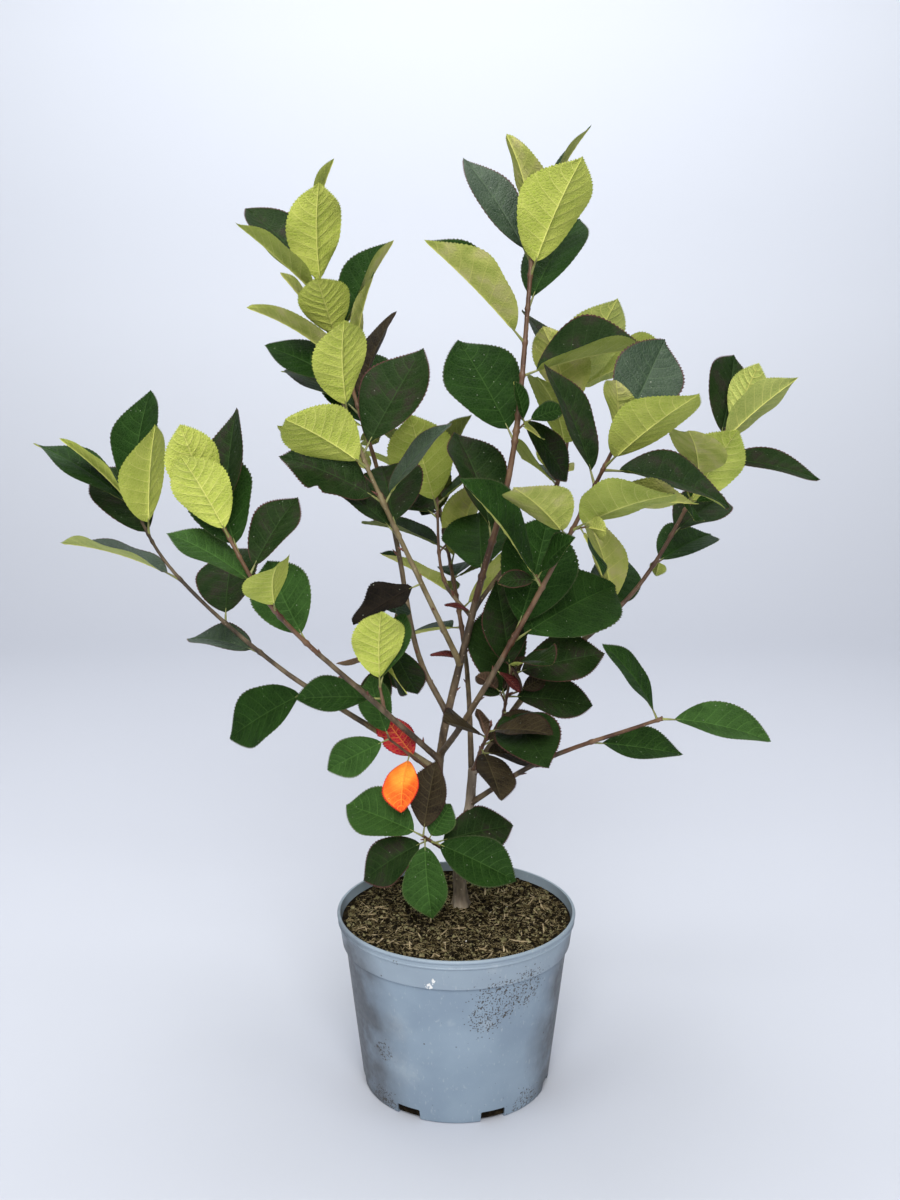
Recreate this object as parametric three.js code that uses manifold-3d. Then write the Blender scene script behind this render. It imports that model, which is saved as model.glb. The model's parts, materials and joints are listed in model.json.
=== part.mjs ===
// Potted chokeberry: a young shrub of several stems in a round nursery pot filled with compost.
// Millimetres, Z up, front towards -Y. The origin is the centre of the pot's flat underside.
import * as THREE from "three";
import { mergeVertices } from "three/addons/utils/BufferGeometryUtils.js";
import Module from "manifold-3d";

const wasm = await Module();
wasm.setup();

// Clear gap that touching pieces keep, and the reach within which corners are one
const GAP = 0.3;
const WELD = 0.001;

// Pot: tapered wall, stepped collar, beaded lip, and drain notches round the foot
const POT = {
  height: 144,
  rimRadius: 95,
  footRadius: 75,
  wall: 1.6,
  floor: 2,
  footRound: 1.5,
  lipHeight: 3,
  lipReach: 1.2,
  collarHeight: 25,
  collarTaper: 2.8,
  collarStep: 2.4,
  facets: 48,
};
const DRAIN = { count: 7, width: 20, height: 9, depth: 9, turn: 0.607 };
const SOIL_LEVEL = 137;

// Leaf: shares of the blade's length, spreads of the seeded draws, angles in degrees
const LEAF = {
  stalkShare: 0.12,
  stalkThickness: 1.6,
  thickness: 0.018,
  sink: 0.3,
  widthShare: 0.64,
  widthSpread: 0.06,
  lengthSpread: 0.1,
  tipLoss: 0.15,
  turnSpread: 10,
  pitchSpread: 7,
  fold: { least: 6, range: 12 },
  droop: { least: 5, range: 16, start: 0.6, swing: 1.6 },
  rollSpread: 26,
  baseFill: 0.75,
  tipFill: 0.5,
  rings: [0.02, 0.16, 0.36, 0.58, 0.78, 0.92],
  corners: 4,
};
const GOLDEN_ANGLE = 137.5;

// Place of the first leaf past the bare bough, and the run of stem that the tuft at the tip stands on
const FIRST_LEAF = 0.04;
const TUFT_RUN = 24;

// Buds that stand in some of the leaf axils
const BUD = { share: 0.55, least: 3, range: 4, radius: 0.8, tipRadius: 0.3, lean: 0.7, sides: 3 };

// Seeds of a spray's number streams, its own seed times the step and an offset, and the rule of a draw
const STREAM = { step: 7919, leaves: 17, shown: 3000, buds: 5000 };
const DRAW = { factor: 1664525, step: 1013904223, range: 2 ** 32 };

// Room that a leaf keeps: its thin sheet is tried at these lifts, and turned aside or left out
const SHEET = { rows: [0.12, 0.3, 0.5, 0.7, 0.88, 1], lifts: [-2, 0, 2], reach: 8 };
const TRY_TURNS = [0, 9, -9, 18, -18, 27, -27];

// Root flare at the trunk's foot, and the facets of limbs
const FLARE = { reach: 2.6, run: 7 };
const CURVE_STEPS = 48;
const TUBE = { sides: 7, twigSides: 5, step: 16, fewest: 3 };

// Limbs: parent and share of its length where the limb leaves it, radii at foot and tip, share of its
// length that is a bare bough before its foliage starts, bends it passes through, and tip
const LIMBS = [
  {
    name: "trunk", role: "trunk", radii: [5.2, 4.6], bare: 1,
    foot: [4, 20, 137.3], via: [], tip: [1, 18, 190],
  },
  {
    name: "leader", role: "stem", parent: "trunk", at: 0.9, radii: [3.6, 1.5], bare: 0.44,
    via: [[-14, 22, 240], [12, 11, 380], [41, -1, 500]], tip: [56, 12, 660],
  },
  {
    name: "second", role: "stem", parent: "trunk", at: 0.9, radii: [4.2, 3.6], bare: 1,
    via: [[10, 12, 222]], tip: [13, 10, 256],
  },
  {
    name: "left_front", role: "bough", parent: "leader", at: 0.16, radii: [2.6, 1.2], bare: 0.58,
    via: [[-62, -38, 325], [-131, -84, 408]], tip: [-164, -86, 468],
  },
  {
    name: "left_back", role: "bough", parent: "leader", at: 0.14, radii: [2.6, 1.1], bare: 0.22,
    via: [[-50, 8, 280], [-146, 25, 340], [-228, 38, 416]], tip: [-252, 34, 464],
  },
  {
    name: "up_left_front", role: "bough", parent: "leader", at: 0.33, radii: [2.4, 1.2], bare: 0.5,
    via: [[-30, -15, 418], [-66, -30, 501]], tip: [-84, -34, 552],
  },
  {
    name: "up_left_back", role: "bough", parent: "leader", at: 0.24, radii: [2.4, 1.1], bare: 0.5,
    via: [[-30, 42, 340], [-52, 68, 446]], tip: [-112, 82, 644],
  },
  {
    name: "front_right", role: "bough", parent: "leader", at: 0.17, radii: [2.6, 1.2], bare: 0.4,
    via: [[6, -18, 304], [57, -50, 405]], tip: [110, -86, 524],
  },
  {
    name: "right", role: "bough", parent: "second", at: 0.95, radii: [2.8, 1.1], bare: 0.46,
    via: [[59, 40, 313], [150, 70, 394]], tip: [220, 88, 520],
  },
  {
    name: "low_right", role: "bough", parent: "second", at: 0.6, radii: [2.3, 1.3], bare: 0.55,
    via: [[64, -25, 274]], tip: [148, -72, 322],
  },
  {
    name: "back_right", role: "bough", parent: "leader", at: 0.42, radii: [1.9, 1.1], bare: 0.45,
    via: [[80, 60, 476]], tip: [94, 76, 550],
  },
  {
    name: "back", role: "bough", parent: "second", at: 0.9, radii: [2.4, 1.1], bare: 0.45,
    via: [[8, 75, 330]], tip: [-18, 165, 468],
  },
  {
    name: "inner_back", role: "bough", parent: "leader", at: 0.41, radii: [1.6, 1], bare: 0.35,
    via: [[-10, 48, 402]], tip: [-16, 92, 462],
  },
  {
    name: "base", role: "spur", parent: "trunk", at: 0.75, radii: [1.5, 1], bare: 0,
    via: [], tip: [-26, -20, 212],
  },
  {
    name: "low_left", role: "spur", parent: "leader", at: 0.13, radii: [1.4, 0.9], bare: 0,
    via: [], tip: [-52, -12, 288],
  },
  {
    name: "left_spur", role: "spur", parent: "left_front", at: 0.3, radii: [1.3, 0.9], bare: 0,
    via: [], tip: [-58, -26, 334],
  },
  {
    name: "inner_left", role: "spur", parent: "up_left_back", at: 0.3, radii: [1.3, 0.9], bare: 0,
    via: [], tip: [-56, 18, 342],
  },
  {
    name: "inner_right", role: "spur", parent: "right", at: 0.12, radii: [1.5, 0.9], bare: 0,
    via: [], tip: [42, -18, 346],
  },
  {
    name: "low_inner", role: "spur", parent: "second", at: 0.98, radii: [1.5, 0.9], bare: 0,
    via: [], tip: [26, -28, 304],
  },
];

// Foliage on each limb: number of leaves in its spiral and how many of them crowd at the tip, turn of the
// first one (0 back, 90 left, 180 front), hand of the spiral, longest blade, pitch of the first and last
// leaf, lift to the sky, and on a spur the share of its length where the leaves start. The leaves that show
// most stand before the spiral fills in: share of the limb, turn, pitch, length, roll, and its own fold or
// breadth where it has one
const SPRAYS = [
  {
    limb: "leader", seed: 22, count: 2, tuft: 0, phase: 0, hand: -1,
    length: 90, pitch: [84, 20], sky: 0.1,
    shown: [
      [0.95, 210, 32, 84, 0], [0.97, 62, 38, 90, -30, { breadth: 0.65 }], [0.99, 130, 20, 74, -20],
      [1, 262, 18, 84, 0], [0.9, 320, 34, 86, 0], [0.85, 112, 52, 94, -22, { fold: 40 }],
      [0.7, 58, 40, 84, -45], [0.8, 280, 70, 88, 20, { fold: 40 }], [0.74, 300, 130, 62, 60],
      [0.54, 40, 46, 88, 0],
    ],
  },
  {
    limb: "left_front", seed: 24, count: 3, tuft: 0, phase: 340, hand: -1,
    length: 82, pitch: [52, 26], sky: 0.5,
    shown: [
      [0.95, 190, 20, 64, 0], [1, 240, 18, 66, 0, { breadth: 0.8 }], [0.98, 300, 38, 78, 0],
      [0.9, 350, 30, 78, 0], [0.74, 215, 50, 62, 0], [0.62, 345, 44, 62, 0],
    ],
  },
  {
    limb: "left_back", seed: 21, count: 0, tuft: 0, phase: 20, hand: 1,
    length: 74, pitch: [72, 24], sky: 0.4,
    shown: [
      [0.92, 245, 34, 84, 0], [1, 112, 18, 66, 0], [1, 318, 40, 86, 0], [0.98, 66, 30, 86, 0],
      [0.9, 20, 36, 78, 0], [0.79, 96, 28, 88, 0], [0.53, 55, 34, 64, 0], [0.64, 330, 58, 78, 30],
      [0.38, 80, 62, 78, -50],
    ],
  },
  {
    limb: "up_left_front", seed: 24, count: 3, tuft: 0, phase: 350, hand: 1,
    length: 92, pitch: [72, 16], sky: 0,
    shown: [
      [0.93, 210, 32, 72, 0], [0.76, 140, 40, 74, 30], [0.8, 300, 56, 84, 30], [0.64, 115, 38, 74, -40],
      [0.52, 95, 30, 74, 0], [0.63, 282, 62, 70, 0],
    ],
  },
  {
    limb: "up_left_back", seed: 26, count: 4, tuft: 0, phase: 140, hand: -1,
    length: 84, pitch: [55, 18], sky: 0.2,
    shown: [
      [0.98, 50, 34, 82, 0], [0.95, 215, 28, 78, 0], [0.93, 112, 32, 80, 0], [1, 275, 24, 78, 0],
      [0.84, 285, 46, 84, 20, { fold: 35 }], [0.7, 300, 40, 78, 0], [0.84, 185, 40, 58, 0],
      [0.78, 110, 38, 82, 0], [0.68, 45, 50, 84, 0],
    ],
  },
  {
    limb: "front_right", seed: 21, count: 3, tuft: 0, phase: 320, hand: 1,
    length: 102, pitch: [60, 40], sky: 0,
    shown: [
      [0.93, 215, 28, 84, 0], [0.99, 140, 36, 52, 0], [0.88, 65, 50, 82, 0], [1, 355, 34, 72, 0],
      [0.74, 130, 62, 74, 45], [0.81, 258, 54, 74, -40], [0.92, 290, 86, 96, 0], [0.46, 15, 34, 86, 0],
    ],
  },
  {
    limb: "right", seed: 21, count: 3, tuft: 0, phase: 100, hand: -1,
    length: 80, pitch: [62, 20], sky: 0.1,
    shown: [
      [0.96, 20, 28, 78, 0], [0.95, 235, 22, 74, -10], [1, 150, 10, 50, -15], [0.86, 150, 70, 76, 0],
      [0.92, 272, 72, 84, 30, { breadth: 0.7 }], [0.72, 320, 40, 66, 0], [0.5, 25, 50, 78, 0],
    ],
  },
  {
    limb: "low_right", seed: 24, count: 0, tuft: 0, phase: 160, hand: 1,
    length: 64, pitch: [105, 45], sky: 0.7,
    shown: [
      [0.98, 88, 95, 62, 0], [1, 285, 36, 70, 0], [0.68, 290, 34, 60, 0],
    ],
  },
  {
    limb: "back_right", seed: 22, count: 5, tuft: 2, phase: 240, hand: 1,
    length: 88, pitch: [80, 40], sky: 0.4,
    shown: [
      [1, 290, 56, 82, -35], [0.98, 220, 30, 76, 0], [0.88, 140, 34, 74, 0],
    ],
  },
  {
    limb: "back", seed: 25, count: 11, tuft: 3, phase: 40, hand: -1,
    length: 78, pitch: [70, 38], sky: 0.9,
  },
  {
    limb: "inner_back", seed: 22, count: 6, tuft: 4, phase: 120, hand: 1,
    length: 78, pitch: [55, 44], sky: 1,
  },
  {
    limb: "base", seed: 23, count: 3, tuft: 2, phase: 220, hand: -1,
    length: 64, pitch: [125, 65], sky: 0.5, start: 0.7,
    shown: [
      [1, 35, 70, 62, 0], [0.95, 147, 110, 56, 0], [0.8, 215, 118, 66, 0], [0.7, 262, 122, 60, 20],
    ],
  },
  {
    limb: "low_left", seed: 25, count: 2, tuft: 1, phase: 100, hand: -1,
    length: 50, pitch: [85, 60], sky: 0.4, start: 0.5,
    shown: [
      [0.45, 330, 22, 46, 0], [0.6, 140, 96, 42, 0, { breadth: 1.3 }], [1, 80, 80, 50, -45],
    ],
  },
  {
    limb: "left_spur", seed: 26, count: 2, tuft: 1, phase: 140, hand: 1,
    length: 60, pitch: [95, 32], sky: 0.5, start: 0.4,
    shown: [
      [0.5, 100, 78, 58, -40], [0.95, 200, 36, 64, 0],
    ],
  },
  {
    limb: "inner_left", seed: 25, count: 5, tuft: 4, phase: 180, hand: -1,
    length: 44, pitch: [80, 26], sky: 0, start: 0.4,
  },
  {
    limb: "inner_right", seed: 21, count: 6, tuft: 3, phase: 180, hand: -1,
    length: 76, pitch: [60, 36], sky: 0, start: 0.3,
    shown: [
      [0.9, 285, 78, 66, 0], [0.55, 275, 95, 62, 0],
    ],
  },
  {
    limb: "low_inner", seed: 25, count: 7, tuft: 3, phase: 280, hand: 1,
    length: 54, pitch: [95, 40], sky: 0.2, start: 0.4,
  },
];

const FINISH = {
  pot: { color: 0x7d8ca3, roughness: 0.55, metalness: 0 },
  soil: { color: 0x2e261c, roughness: 1, metalness: 0 },
  bark: { color: 0x6b4f3a, roughness: 0.85, metalness: 0 },
  foliage: { color: 0x3f6a35, roughness: 0.5, metalness: 0 },
};

const ORIGIN = new THREE.Vector3();
const UP = new THREE.Vector3(0, 0, 1);
const BACK = new THREE.Vector3(0, 1, 0);
const vector = ([x, y, z]) => new THREE.Vector3(x, y, z);
const radians = THREE.MathUtils.degToRad;

// Point at weighted steps from a start
function along(start, ...steps) {
  const point = start.clone();
  for (const [direction, amount] of steps) {
    point.addScaledVector(direction, amount);
  }
  return point;
}

// Seeded number stream
class Stream {
  constructor(seed) {
    this.state = seed >>> 0;
  }

  draw() {
    this.state = (Math.imul(this.state, DRAW.factor) + DRAW.step) >>> 0;
    return this.state / DRAW.range;
  }

  spread(reach) {
    return (2 * this.draw() - 1) * reach;
  }
}

// Closed geometry as a solid, without the empty triangles that lie on an axis or an apex
function solidOf(geometry) {
  const bare = new THREE.BufferGeometry().setAttribute("position", geometry.getAttribute("position"));
  bare.setIndex(geometry.index);
  const merged = mergeVertices(bare, WELD);
  const triVerts = [];
  for (let i = 0; i < merged.index.count; i += 3) {
    const corners = [0, 1, 2].map((k) => merged.index.getX(i + k));
    if (new Set(corners).size === 3) {
      triVerts.push(...corners);
    }
  }
  const mesh = new wasm.Mesh({
    numProp: 3,
    vertProperties: merged.attributes.position.array,
    triVerts: new Uint32Array(triVerts),
  });
  return new wasm.Manifold(mesh);
}

// Solid under a skin over a run of rings with equal corners, each end closed
function loft(rings) {
  const corners = rings[0].length;
  const index = [];
  for (let r = 0; r < rings.length - 1; r++) {
    for (let c = 0; c < corners; c++) {
      const a = r * corners + c;
      const b = r * corners + ((c + 1) % corners);
      index.push(a, b, b + corners, a, b + corners, a + corners);
    }
  }
  const last = (rings.length - 1) * corners;
  for (let c = 1; c < corners - 1; c++) {
    index.push(0, c + 1, c);
    index.push(last, last + c, last + c + 1);
  }
  const positions = rings.flat().flatMap((p) => [p.x, p.y, p.z]);
  const geometry = new THREE.BufferGeometry();
  geometry.setAttribute("position", new THREE.Float32BufferAttribute(positions, 3));
  geometry.setIndex(index);
  return solidOf(geometry);
}

// Solid turned about Z from a profile of [radius, height] that starts and ends on the axis
function turned(profile, facets) {
  const points = profile.map(([radius, height]) => new THREE.Vector2(radius, height));
  const geometry = new THREE.LatheGeometry(points, facets);
  geometry.rotateX(Math.PI / 2);
  return solidOf(geometry);
}

// The main body of a cut solid, without scraps and sealed hollows
function mainBody(solid) {
  const bodies = solid.decompose();
  return bodies.reduce((best, body) => (body.volume() > best.volume() ? body : best));
}

// Ring of corners about a centre
function ringAt(centre, across, upright, radius, sides) {
  const ring = [];
  for (let k = 0; k < sides; k++) {
    const turn = (2 * Math.PI * k) / sides;
    ring.push(along(centre, [across, radius * Math.cos(turn)], [upright, radius * Math.sin(turn)]));
  }
  return ring;
}

// Limb of the plant: a tapering curve that grows from its parent to its tip
class Limb {
  constructor(row, limbs) {
    Object.assign(this, row);
    const start = row.parent ? limbs.get(row.parent).point(row.at) : vector(row.foot);
    const knots = [start, ...row.via.map(vector), vector(row.tip)];
    const curve = new THREE.CatmullRomCurve3(knots, false, "centripetal");
    this.points = curve.getSpacedPoints(CURVE_STEPS);
    this.length = curve.getLength();
  }

  point(share) {
    const place = THREE.MathUtils.clamp(share, 0, 1) * CURVE_STEPS;
    const k = Math.min(Math.floor(place), CURVE_STEPS - 1);
    return this.points[k].clone().lerp(this.points[k + 1], place - k);
  }

  radius(share) {
    const [foot, tip] = this.radii;
    const flare = this.parent ? 0 : FLARE.reach * Math.exp((-share * this.length) / FLARE.run);
    return THREE.MathUtils.lerp(foot, tip, share) + flare;
  }

  // Axis, and the two directions across it, towards the back and the left
  frame(share) {
    const k = THREE.MathUtils.clamp(Math.round(share * CURVE_STEPS), 1, CURVE_STEPS - 1);
    const axis = this.points[k + 1].clone().sub(this.points[k - 1]).normalize();
    const back = along(BACK, [axis, -axis.y]).normalize();
    return { axis, back, left: axis.clone().cross(back) };
  }

  // Direction away from the limb at a turn about it
  outward(share, turn) {
    const { back, left } = this.frame(share);
    return along(ORIGIN, [back, Math.cos(turn)], [left, Math.sin(turn)]);
  }

  // Solid of a stretch of the limb, its foot cut level where it stands on the ground
  stretch(from, to, sides, grown = 0) {
    const steps = Math.max(TUBE.fewest, Math.round(((to - from) * this.length) / TUBE.step));
    const rings = [];
    for (let k = 0; k <= steps; k++) {
      const share = from + ((to - from) * k) / steps;
      const level = !this.parent && k === 0;
      const { back, left } = level ? { back: BACK, left: UP.clone().cross(BACK) } : this.frame(share);
      rings.push(ringAt(this.point(share), back, left, this.radius(share) + grown, sides));
    }
    return loft(rings);
  }

  // Bare bough, and the leafy stem that runs on from it a gap away
  bough(grown = 0) {
    return this.stretch(0, this.bare, TUBE.sides, grown);
  }

  stem(grown = 0) {
    const from = this.bare > 0 ? this.bare + GAP / this.length : 0;
    return this.stretch(from, 1, TUBE.twigSides, grown);
  }
}

// Share of a leaf's half width at a place along its blade
function outline(place) {
  const { baseFill: a, tipFill: b } = LEAF;
  const peak = (a / (a + b)) ** a * (b / (a + b)) ** b;
  return (Math.max(place, 0) ** a * Math.max(1 - place, 0) ** b) / peak;
}

// Midrib point, direction and upper side at a share of a leaf's whole length
function leafFrame(leaf, share) {
  const total = leaf.length + leaf.stalk;
  const start = -leaf.droop * LEAF.droop.start;
  const swing = leaf.droop * LEAF.droop.swing;
  const now = start + swing * share;
  const forward = ((Math.sin(now) - Math.sin(start)) / swing) * total;
  const fall = ((Math.cos(start) - Math.cos(now)) / swing) * total;
  return {
    point: along(leaf.base, [leaf.along, forward], [leaf.normal, -fall]),
    direction: along(ORIGIN, [leaf.along, Math.cos(now)], [leaf.normal, -Math.sin(now)]),
    normal: along(ORIGIN, [leaf.normal, Math.cos(now)], [leaf.along, Math.sin(now)]),
  };
}

// Left edge, midrib and right edge of the folded blade at a place along it, with its upper side
function bladeRow(leaf, place, lift = 0) {
  const share = (leaf.stalk + leaf.length * place) / (leaf.length + leaf.stalk);
  const { point, direction, normal } = leafFrame(leaf, share);
  const side = direction.clone().cross(normal);
  const half = (leaf.width / 2) * outline(place);
  const across = half * Math.cos(leaf.fold);
  const rise = half * Math.sin(leaf.fold) + lift;
  return {
    left: along(point, [side, -across], [normal, rise]),
    mid: along(point, [normal, lift]),
    right: along(point, [side, across], [normal, rise]),
    normal,
  };
}

// Thin closed blade on its stalk, thickest along the midrib
function leafSolid(leaf) {
  const root = leafFrame(leaf, 0);
  const side = root.direction.clone().cross(root.normal);
  const half = (LEAF.thickness * leaf.length) / 2;
  const rings = [ringAt(root.point, root.normal, side, LEAF.stalkThickness / 2, LEAF.corners)];
  for (const place of LEAF.rings) {
    const { left, mid, right, normal } = bladeRow(leaf, place);
    rings.push([along(mid, [normal, half]), right, along(mid, [normal, -half]), left]);
  }
  const tip = bladeRow(leaf, 1).mid;
  rings.push(new Array(LEAF.corners).fill(tip));
  return loft(rings);
}

// Thin sheet of a leaf for the room test: its edges and triangles
function sheetOf(leaf, lift) {
  const rows = SHEET.rows.map((place) => bladeRow(leaf, place, lift));
  const segments = [];
  const triangles = [];
  for (let k = 0; k < rows.length - 1; k++) {
    const [a, b] = [rows[k], rows[k + 1]];
    segments.push([a.left, b.left], [a.mid, b.mid], [a.right, b.right], [a.left, a.mid], [a.mid, a.right]);
    triangles.push([a.left, a.mid, b.mid], [a.mid, a.right, b.right]);
    triangles.push([a.left, b.mid, b.left], [a.mid, b.right, b.mid]);
  }
  const corners = rows.flatMap((row) => [row.left, row.mid, row.right]);
  const centre = new THREE.Vector3();
  rows.forEach((row) => centre.addScaledVector(row.mid, 1 / rows.length));
  const radius = Math.max(...corners.map((corner) => corner.distanceTo(centre)));
  return { segments, triangles, centre, radius };
}

// Whether any segment passes through any triangle
function crosses(segments, triangles) {
  const ray = new THREE.Ray();
  const hit = new THREE.Vector3();
  for (const [from, to] of segments) {
    ray.origin.copy(from);
    ray.direction.copy(to).sub(from).normalize();
    const reach = from.distanceTo(to);
    for (const [a, b, c] of triangles) {
      if (ray.intersectTriangle(a, b, c, false, hit) && hit.distanceTo(from) <= reach) {
        return true;
      }
    }
  }
  return false;
}

// Whether a leaf keeps clear of the leaves and limbs that are already there
function hasRoom(leaf, placed, axes) {
  for (const lift of SHEET.lifts) {
    const sheet = sheetOf(leaf, lift);
    const isNear = (other) => other.centre.distanceTo(sheet.centre) < other.radius + sheet.radius;
    const near = placed.filter(isNear);
    if (near.some((other) => crosses(sheet.segments, other.triangles))) {
      return false;
    }
    if (near.some((other) => crosses(other.segments, sheet.triangles))) {
      return false;
    }
    const close = axes.filter(([from]) => from.distanceTo(sheet.centre) < sheet.radius + SHEET.reach);
    if (crosses(close, sheet.triangles)) {
      return false;
    }
  }
  return true;
}

// Place of a leaf on its stem: spread out below, crowded in the tuft at the tip
function leafPlace(spray, limb, i) {
  const first = spray.start ?? limb.bare + FIRST_LEAF;
  const foot = Math.max(1 - TUFT_RUN / limb.length, first);
  const below = spray.count - spray.tuft;
  if (i < below) {
    return first + ((foot - first) * i) / below;
  }
  return foot + ((1 - foot) * (i - below + 1)) / spray.tuft;
}

// Leaf that stands on a limb at a turn about it and a pitch from it
function standLeaf(limb, share, turn, form, sky) {
  const { axis } = limb.frame(share);
  const out = limb.outward(share, turn);
  const direction = along(ORIGIN, [axis, Math.cos(form.pitch)], [out, Math.sin(form.pitch)]);
  const facing = along(axis, [direction, -axis.dot(direction)]).normalize().addScaledVector(UP, sky);
  const normal = along(facing, [direction, -facing.dot(direction)]).normalize();
  const side = direction.clone().cross(normal);
  normal.multiplyScalar(Math.cos(form.roll)).addScaledVector(side, Math.sin(form.roll));
  const base = along(limb.point(share), [out, limb.radius(share) * LEAF.sink]);
  return { ...form, base, along: direction, normal };
}

// Form of a leaf with its seeded draws, its roll drawn too unless it is given
function leafForm(stream, pitch, length, roll, own = {}) {
  const width = length * (LEAF.widthShare + stream.spread(LEAF.widthSpread));
  const fold = LEAF.fold.least + LEAF.fold.range * stream.draw();
  return {
    pitch: radians(pitch),
    length,
    stalk: LEAF.stalkShare * length,
    width: width * (own.breadth ?? 1),
    fold: radians(own.fold ?? fold),
    droop: radians(LEAF.droop.least + LEAF.droop.range * stream.draw()),
    roll: radians(roll ?? stream.spread(LEAF.rollSpread)),
  };
}

// Seats of the leaves that show most: share of the limb, turn about it, and form
function shownSeats(spray) {
  const stream = new Stream(spray.seed * STREAM.step + STREAM.shown);
  const rows = spray.shown ?? [];
  return rows.map(([share, turn, pitch, length, roll, own]) => {
    return { share, turn, form: leafForm(stream, pitch, length, roll, own) };
  });
}

// Seats of the spiral, from the first leaf on the stem to the last at the tip
function spiralSeats(spray, limb) {
  const stream = new Stream(spray.seed * STREAM.step + STREAM.leaves);
  const seats = [];
  for (let i = 0; i < spray.count; i++) {
    const u = i / (spray.count - 1);
    const turn = spray.phase + spray.hand * GOLDEN_ANGLE * i + stream.spread(LEAF.turnSpread);
    const pitch = THREE.MathUtils.lerp(...spray.pitch, u) + stream.spread(LEAF.pitchSpread);
    const length = spray.length * (1 - LEAF.tipLoss * u ** 3) * (1 + stream.spread(LEAF.lengthSpread));
    seats.push({ share: leafPlace(spray, limb, i), turn, form: leafForm(stream, pitch, length) });
  }
  return seats;
}

// Leaves on their seats, each turned aside until it has room, or left out
function settle(seats, limb, sky, placed, axes) {
  const leaves = [];
  for (const { share, turn, form } of seats) {
    for (const aside of TRY_TURNS) {
      const leaf = standLeaf(limb, share, radians(turn + aside), form, sky);
      if (hasRoom(leaf, placed, axes)) {
        leaves.push(leaf);
        placed.push(sheetOf(leaf, 0));
        break;
      }
    }
  }
  return leaves;
}

// Short pointed bud twigs in some of the axils
function growBuds(spray, limb) {
  const stream = new Stream(spray.seed * STREAM.step + STREAM.buds);
  const buds = [];
  for (let i = 0; i < spray.count; i++) {
    const wanted = stream.draw() < BUD.share;
    const length = BUD.least + BUD.range * stream.draw();
    if (wanted) {
      const share = leafPlace(spray, limb, i);
      const { axis } = limb.frame(share);
      const out = limb.outward(share, radians(spray.phase + spray.hand * GOLDEN_ANGLE * i));
      const direction = along(axis, [out, BUD.lean]).normalize();
      const across = along(axis, [direction, -axis.dot(direction)]).normalize();
      const upright = direction.clone().cross(across);
      const foot = limb.point(share);
      const tip = along(foot, [direction, limb.radius(share) + length]);
      const thick = ringAt(foot, across, upright, BUD.radius, BUD.sides);
      const thin = ringAt(tip, across, upright, BUD.tipRadius, BUD.sides);
      buds.push(loft([thick, thin]));
    }
  }
  return buds;
}

// Pot wall's outer radius at a height below the collar
const SHOULDER = POT.height - POT.collarHeight;
const COLLAR_RADIUS = POT.rimRadius - POT.lipReach;
const SHOULDER_RADIUS = COLLAR_RADIUS - POT.collarTaper - POT.collarStep;
const wallRadius = (height) => THREE.MathUtils.lerp(POT.footRadius, SHOULDER_RADIUS, height / SHOULDER);

function makePot() {
  const { height, rimRadius, footRadius, wall, floor, footRound, lipHeight, collarTaper } = POT;
  const body = turned(
    [
      [0, 0],
      [footRadius - footRound, 0],
      [wallRadius(footRound), footRound],
      [SHOULDER_RADIUS, SHOULDER],
      [COLLAR_RADIUS - collarTaper, SHOULDER],
      [COLLAR_RADIUS, height - lipHeight],
      [rimRadius, height - lipHeight],
      [rimRadius, height],
      [COLLAR_RADIUS - wall, height],
      [COLLAR_RADIUS - collarTaper - wall, SHOULDER + wall],
      [SHOULDER_RADIUS - wall, SHOULDER],
      [wallRadius(floor) - wall, floor],
      [0, floor],
    ],
    POT.facets,
  );
  const notches = [];
  for (let k = 0; k < DRAIN.count; k++) {
    const notch = new THREE.BoxGeometry(4 * DRAIN.depth, DRAIN.width, 2 * DRAIN.height);
    notch.translate(footRadius + DRAIN.depth, 0, 0);
    notch.rotateZ(DRAIN.turn + (2 * Math.PI * k) / DRAIN.count);
    notches.push(solidOf(notch));
  }
  return notches.reduce((pot, notch) => pot.subtract(notch), body);
}

function makeSoil() {
  const { wall, floor, collarTaper, height, lipHeight } = POT;
  const inner = (z) => wallRadius(z) - wall - GAP;
  const ledge = COLLAR_RADIUS - collarTaper - wall - GAP;
  const collarSlope = collarTaper / (height - lipHeight - SHOULDER);
  return turned(
    [
      [0, floor + GAP],
      [inner(floor), floor + GAP],
      [inner(SHOULDER), SHOULDER + GAP],
      [ledge, SHOULDER + wall + GAP],
      [ledge + collarSlope * (SOIL_LEVEL - SHOULDER - wall), SOIL_LEVEL],
      [0, SOIL_LEVEL],
    ],
    POT.facets,
  );
}

// Mesh with the solid's own vertices and one finish
function addMesh(group, name, solid, finish) {
  const { vertProperties, triVerts } = solid.getMesh();
  const geometry = new THREE.BufferGeometry();
  geometry.setAttribute("position", new THREE.BufferAttribute(vertProperties, 3));
  geometry.setIndex(new THREE.BufferAttribute(triVerts, 1));
  geometry.computeVertexNormals();
  const mesh = new THREE.Mesh(geometry, new THREE.MeshStandardMaterial(finish));
  mesh.name = name;
  group.add(mesh);
}

const plant = new THREE.Group();
plant.name = "potted_chokeberry";
addMesh(plant, "pot", makePot(), FINISH.pot);
addMesh(plant, "soil", makeSoil(), FINISH.soil);

// Trunk, stems and boughs, each cut clear of those before it
const limbs = new Map();
LIMBS.forEach((row) => limbs.set(row.name, new Limb(row, limbs)));
const boughs = [];
for (const limb of limbs.values()) {
  if (limb.bare > 0) {
    const solid = boughs.reduce((left, other) => left.subtract(other), limb.bough());
    const name = limb.role === limb.name ? limb.name : `${limb.role}_${limb.name}`;
    addMesh(plant, name, mainBody(solid), FINISH.bark);
    boughs.push(limb.bough(GAP));
  }
}

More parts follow.
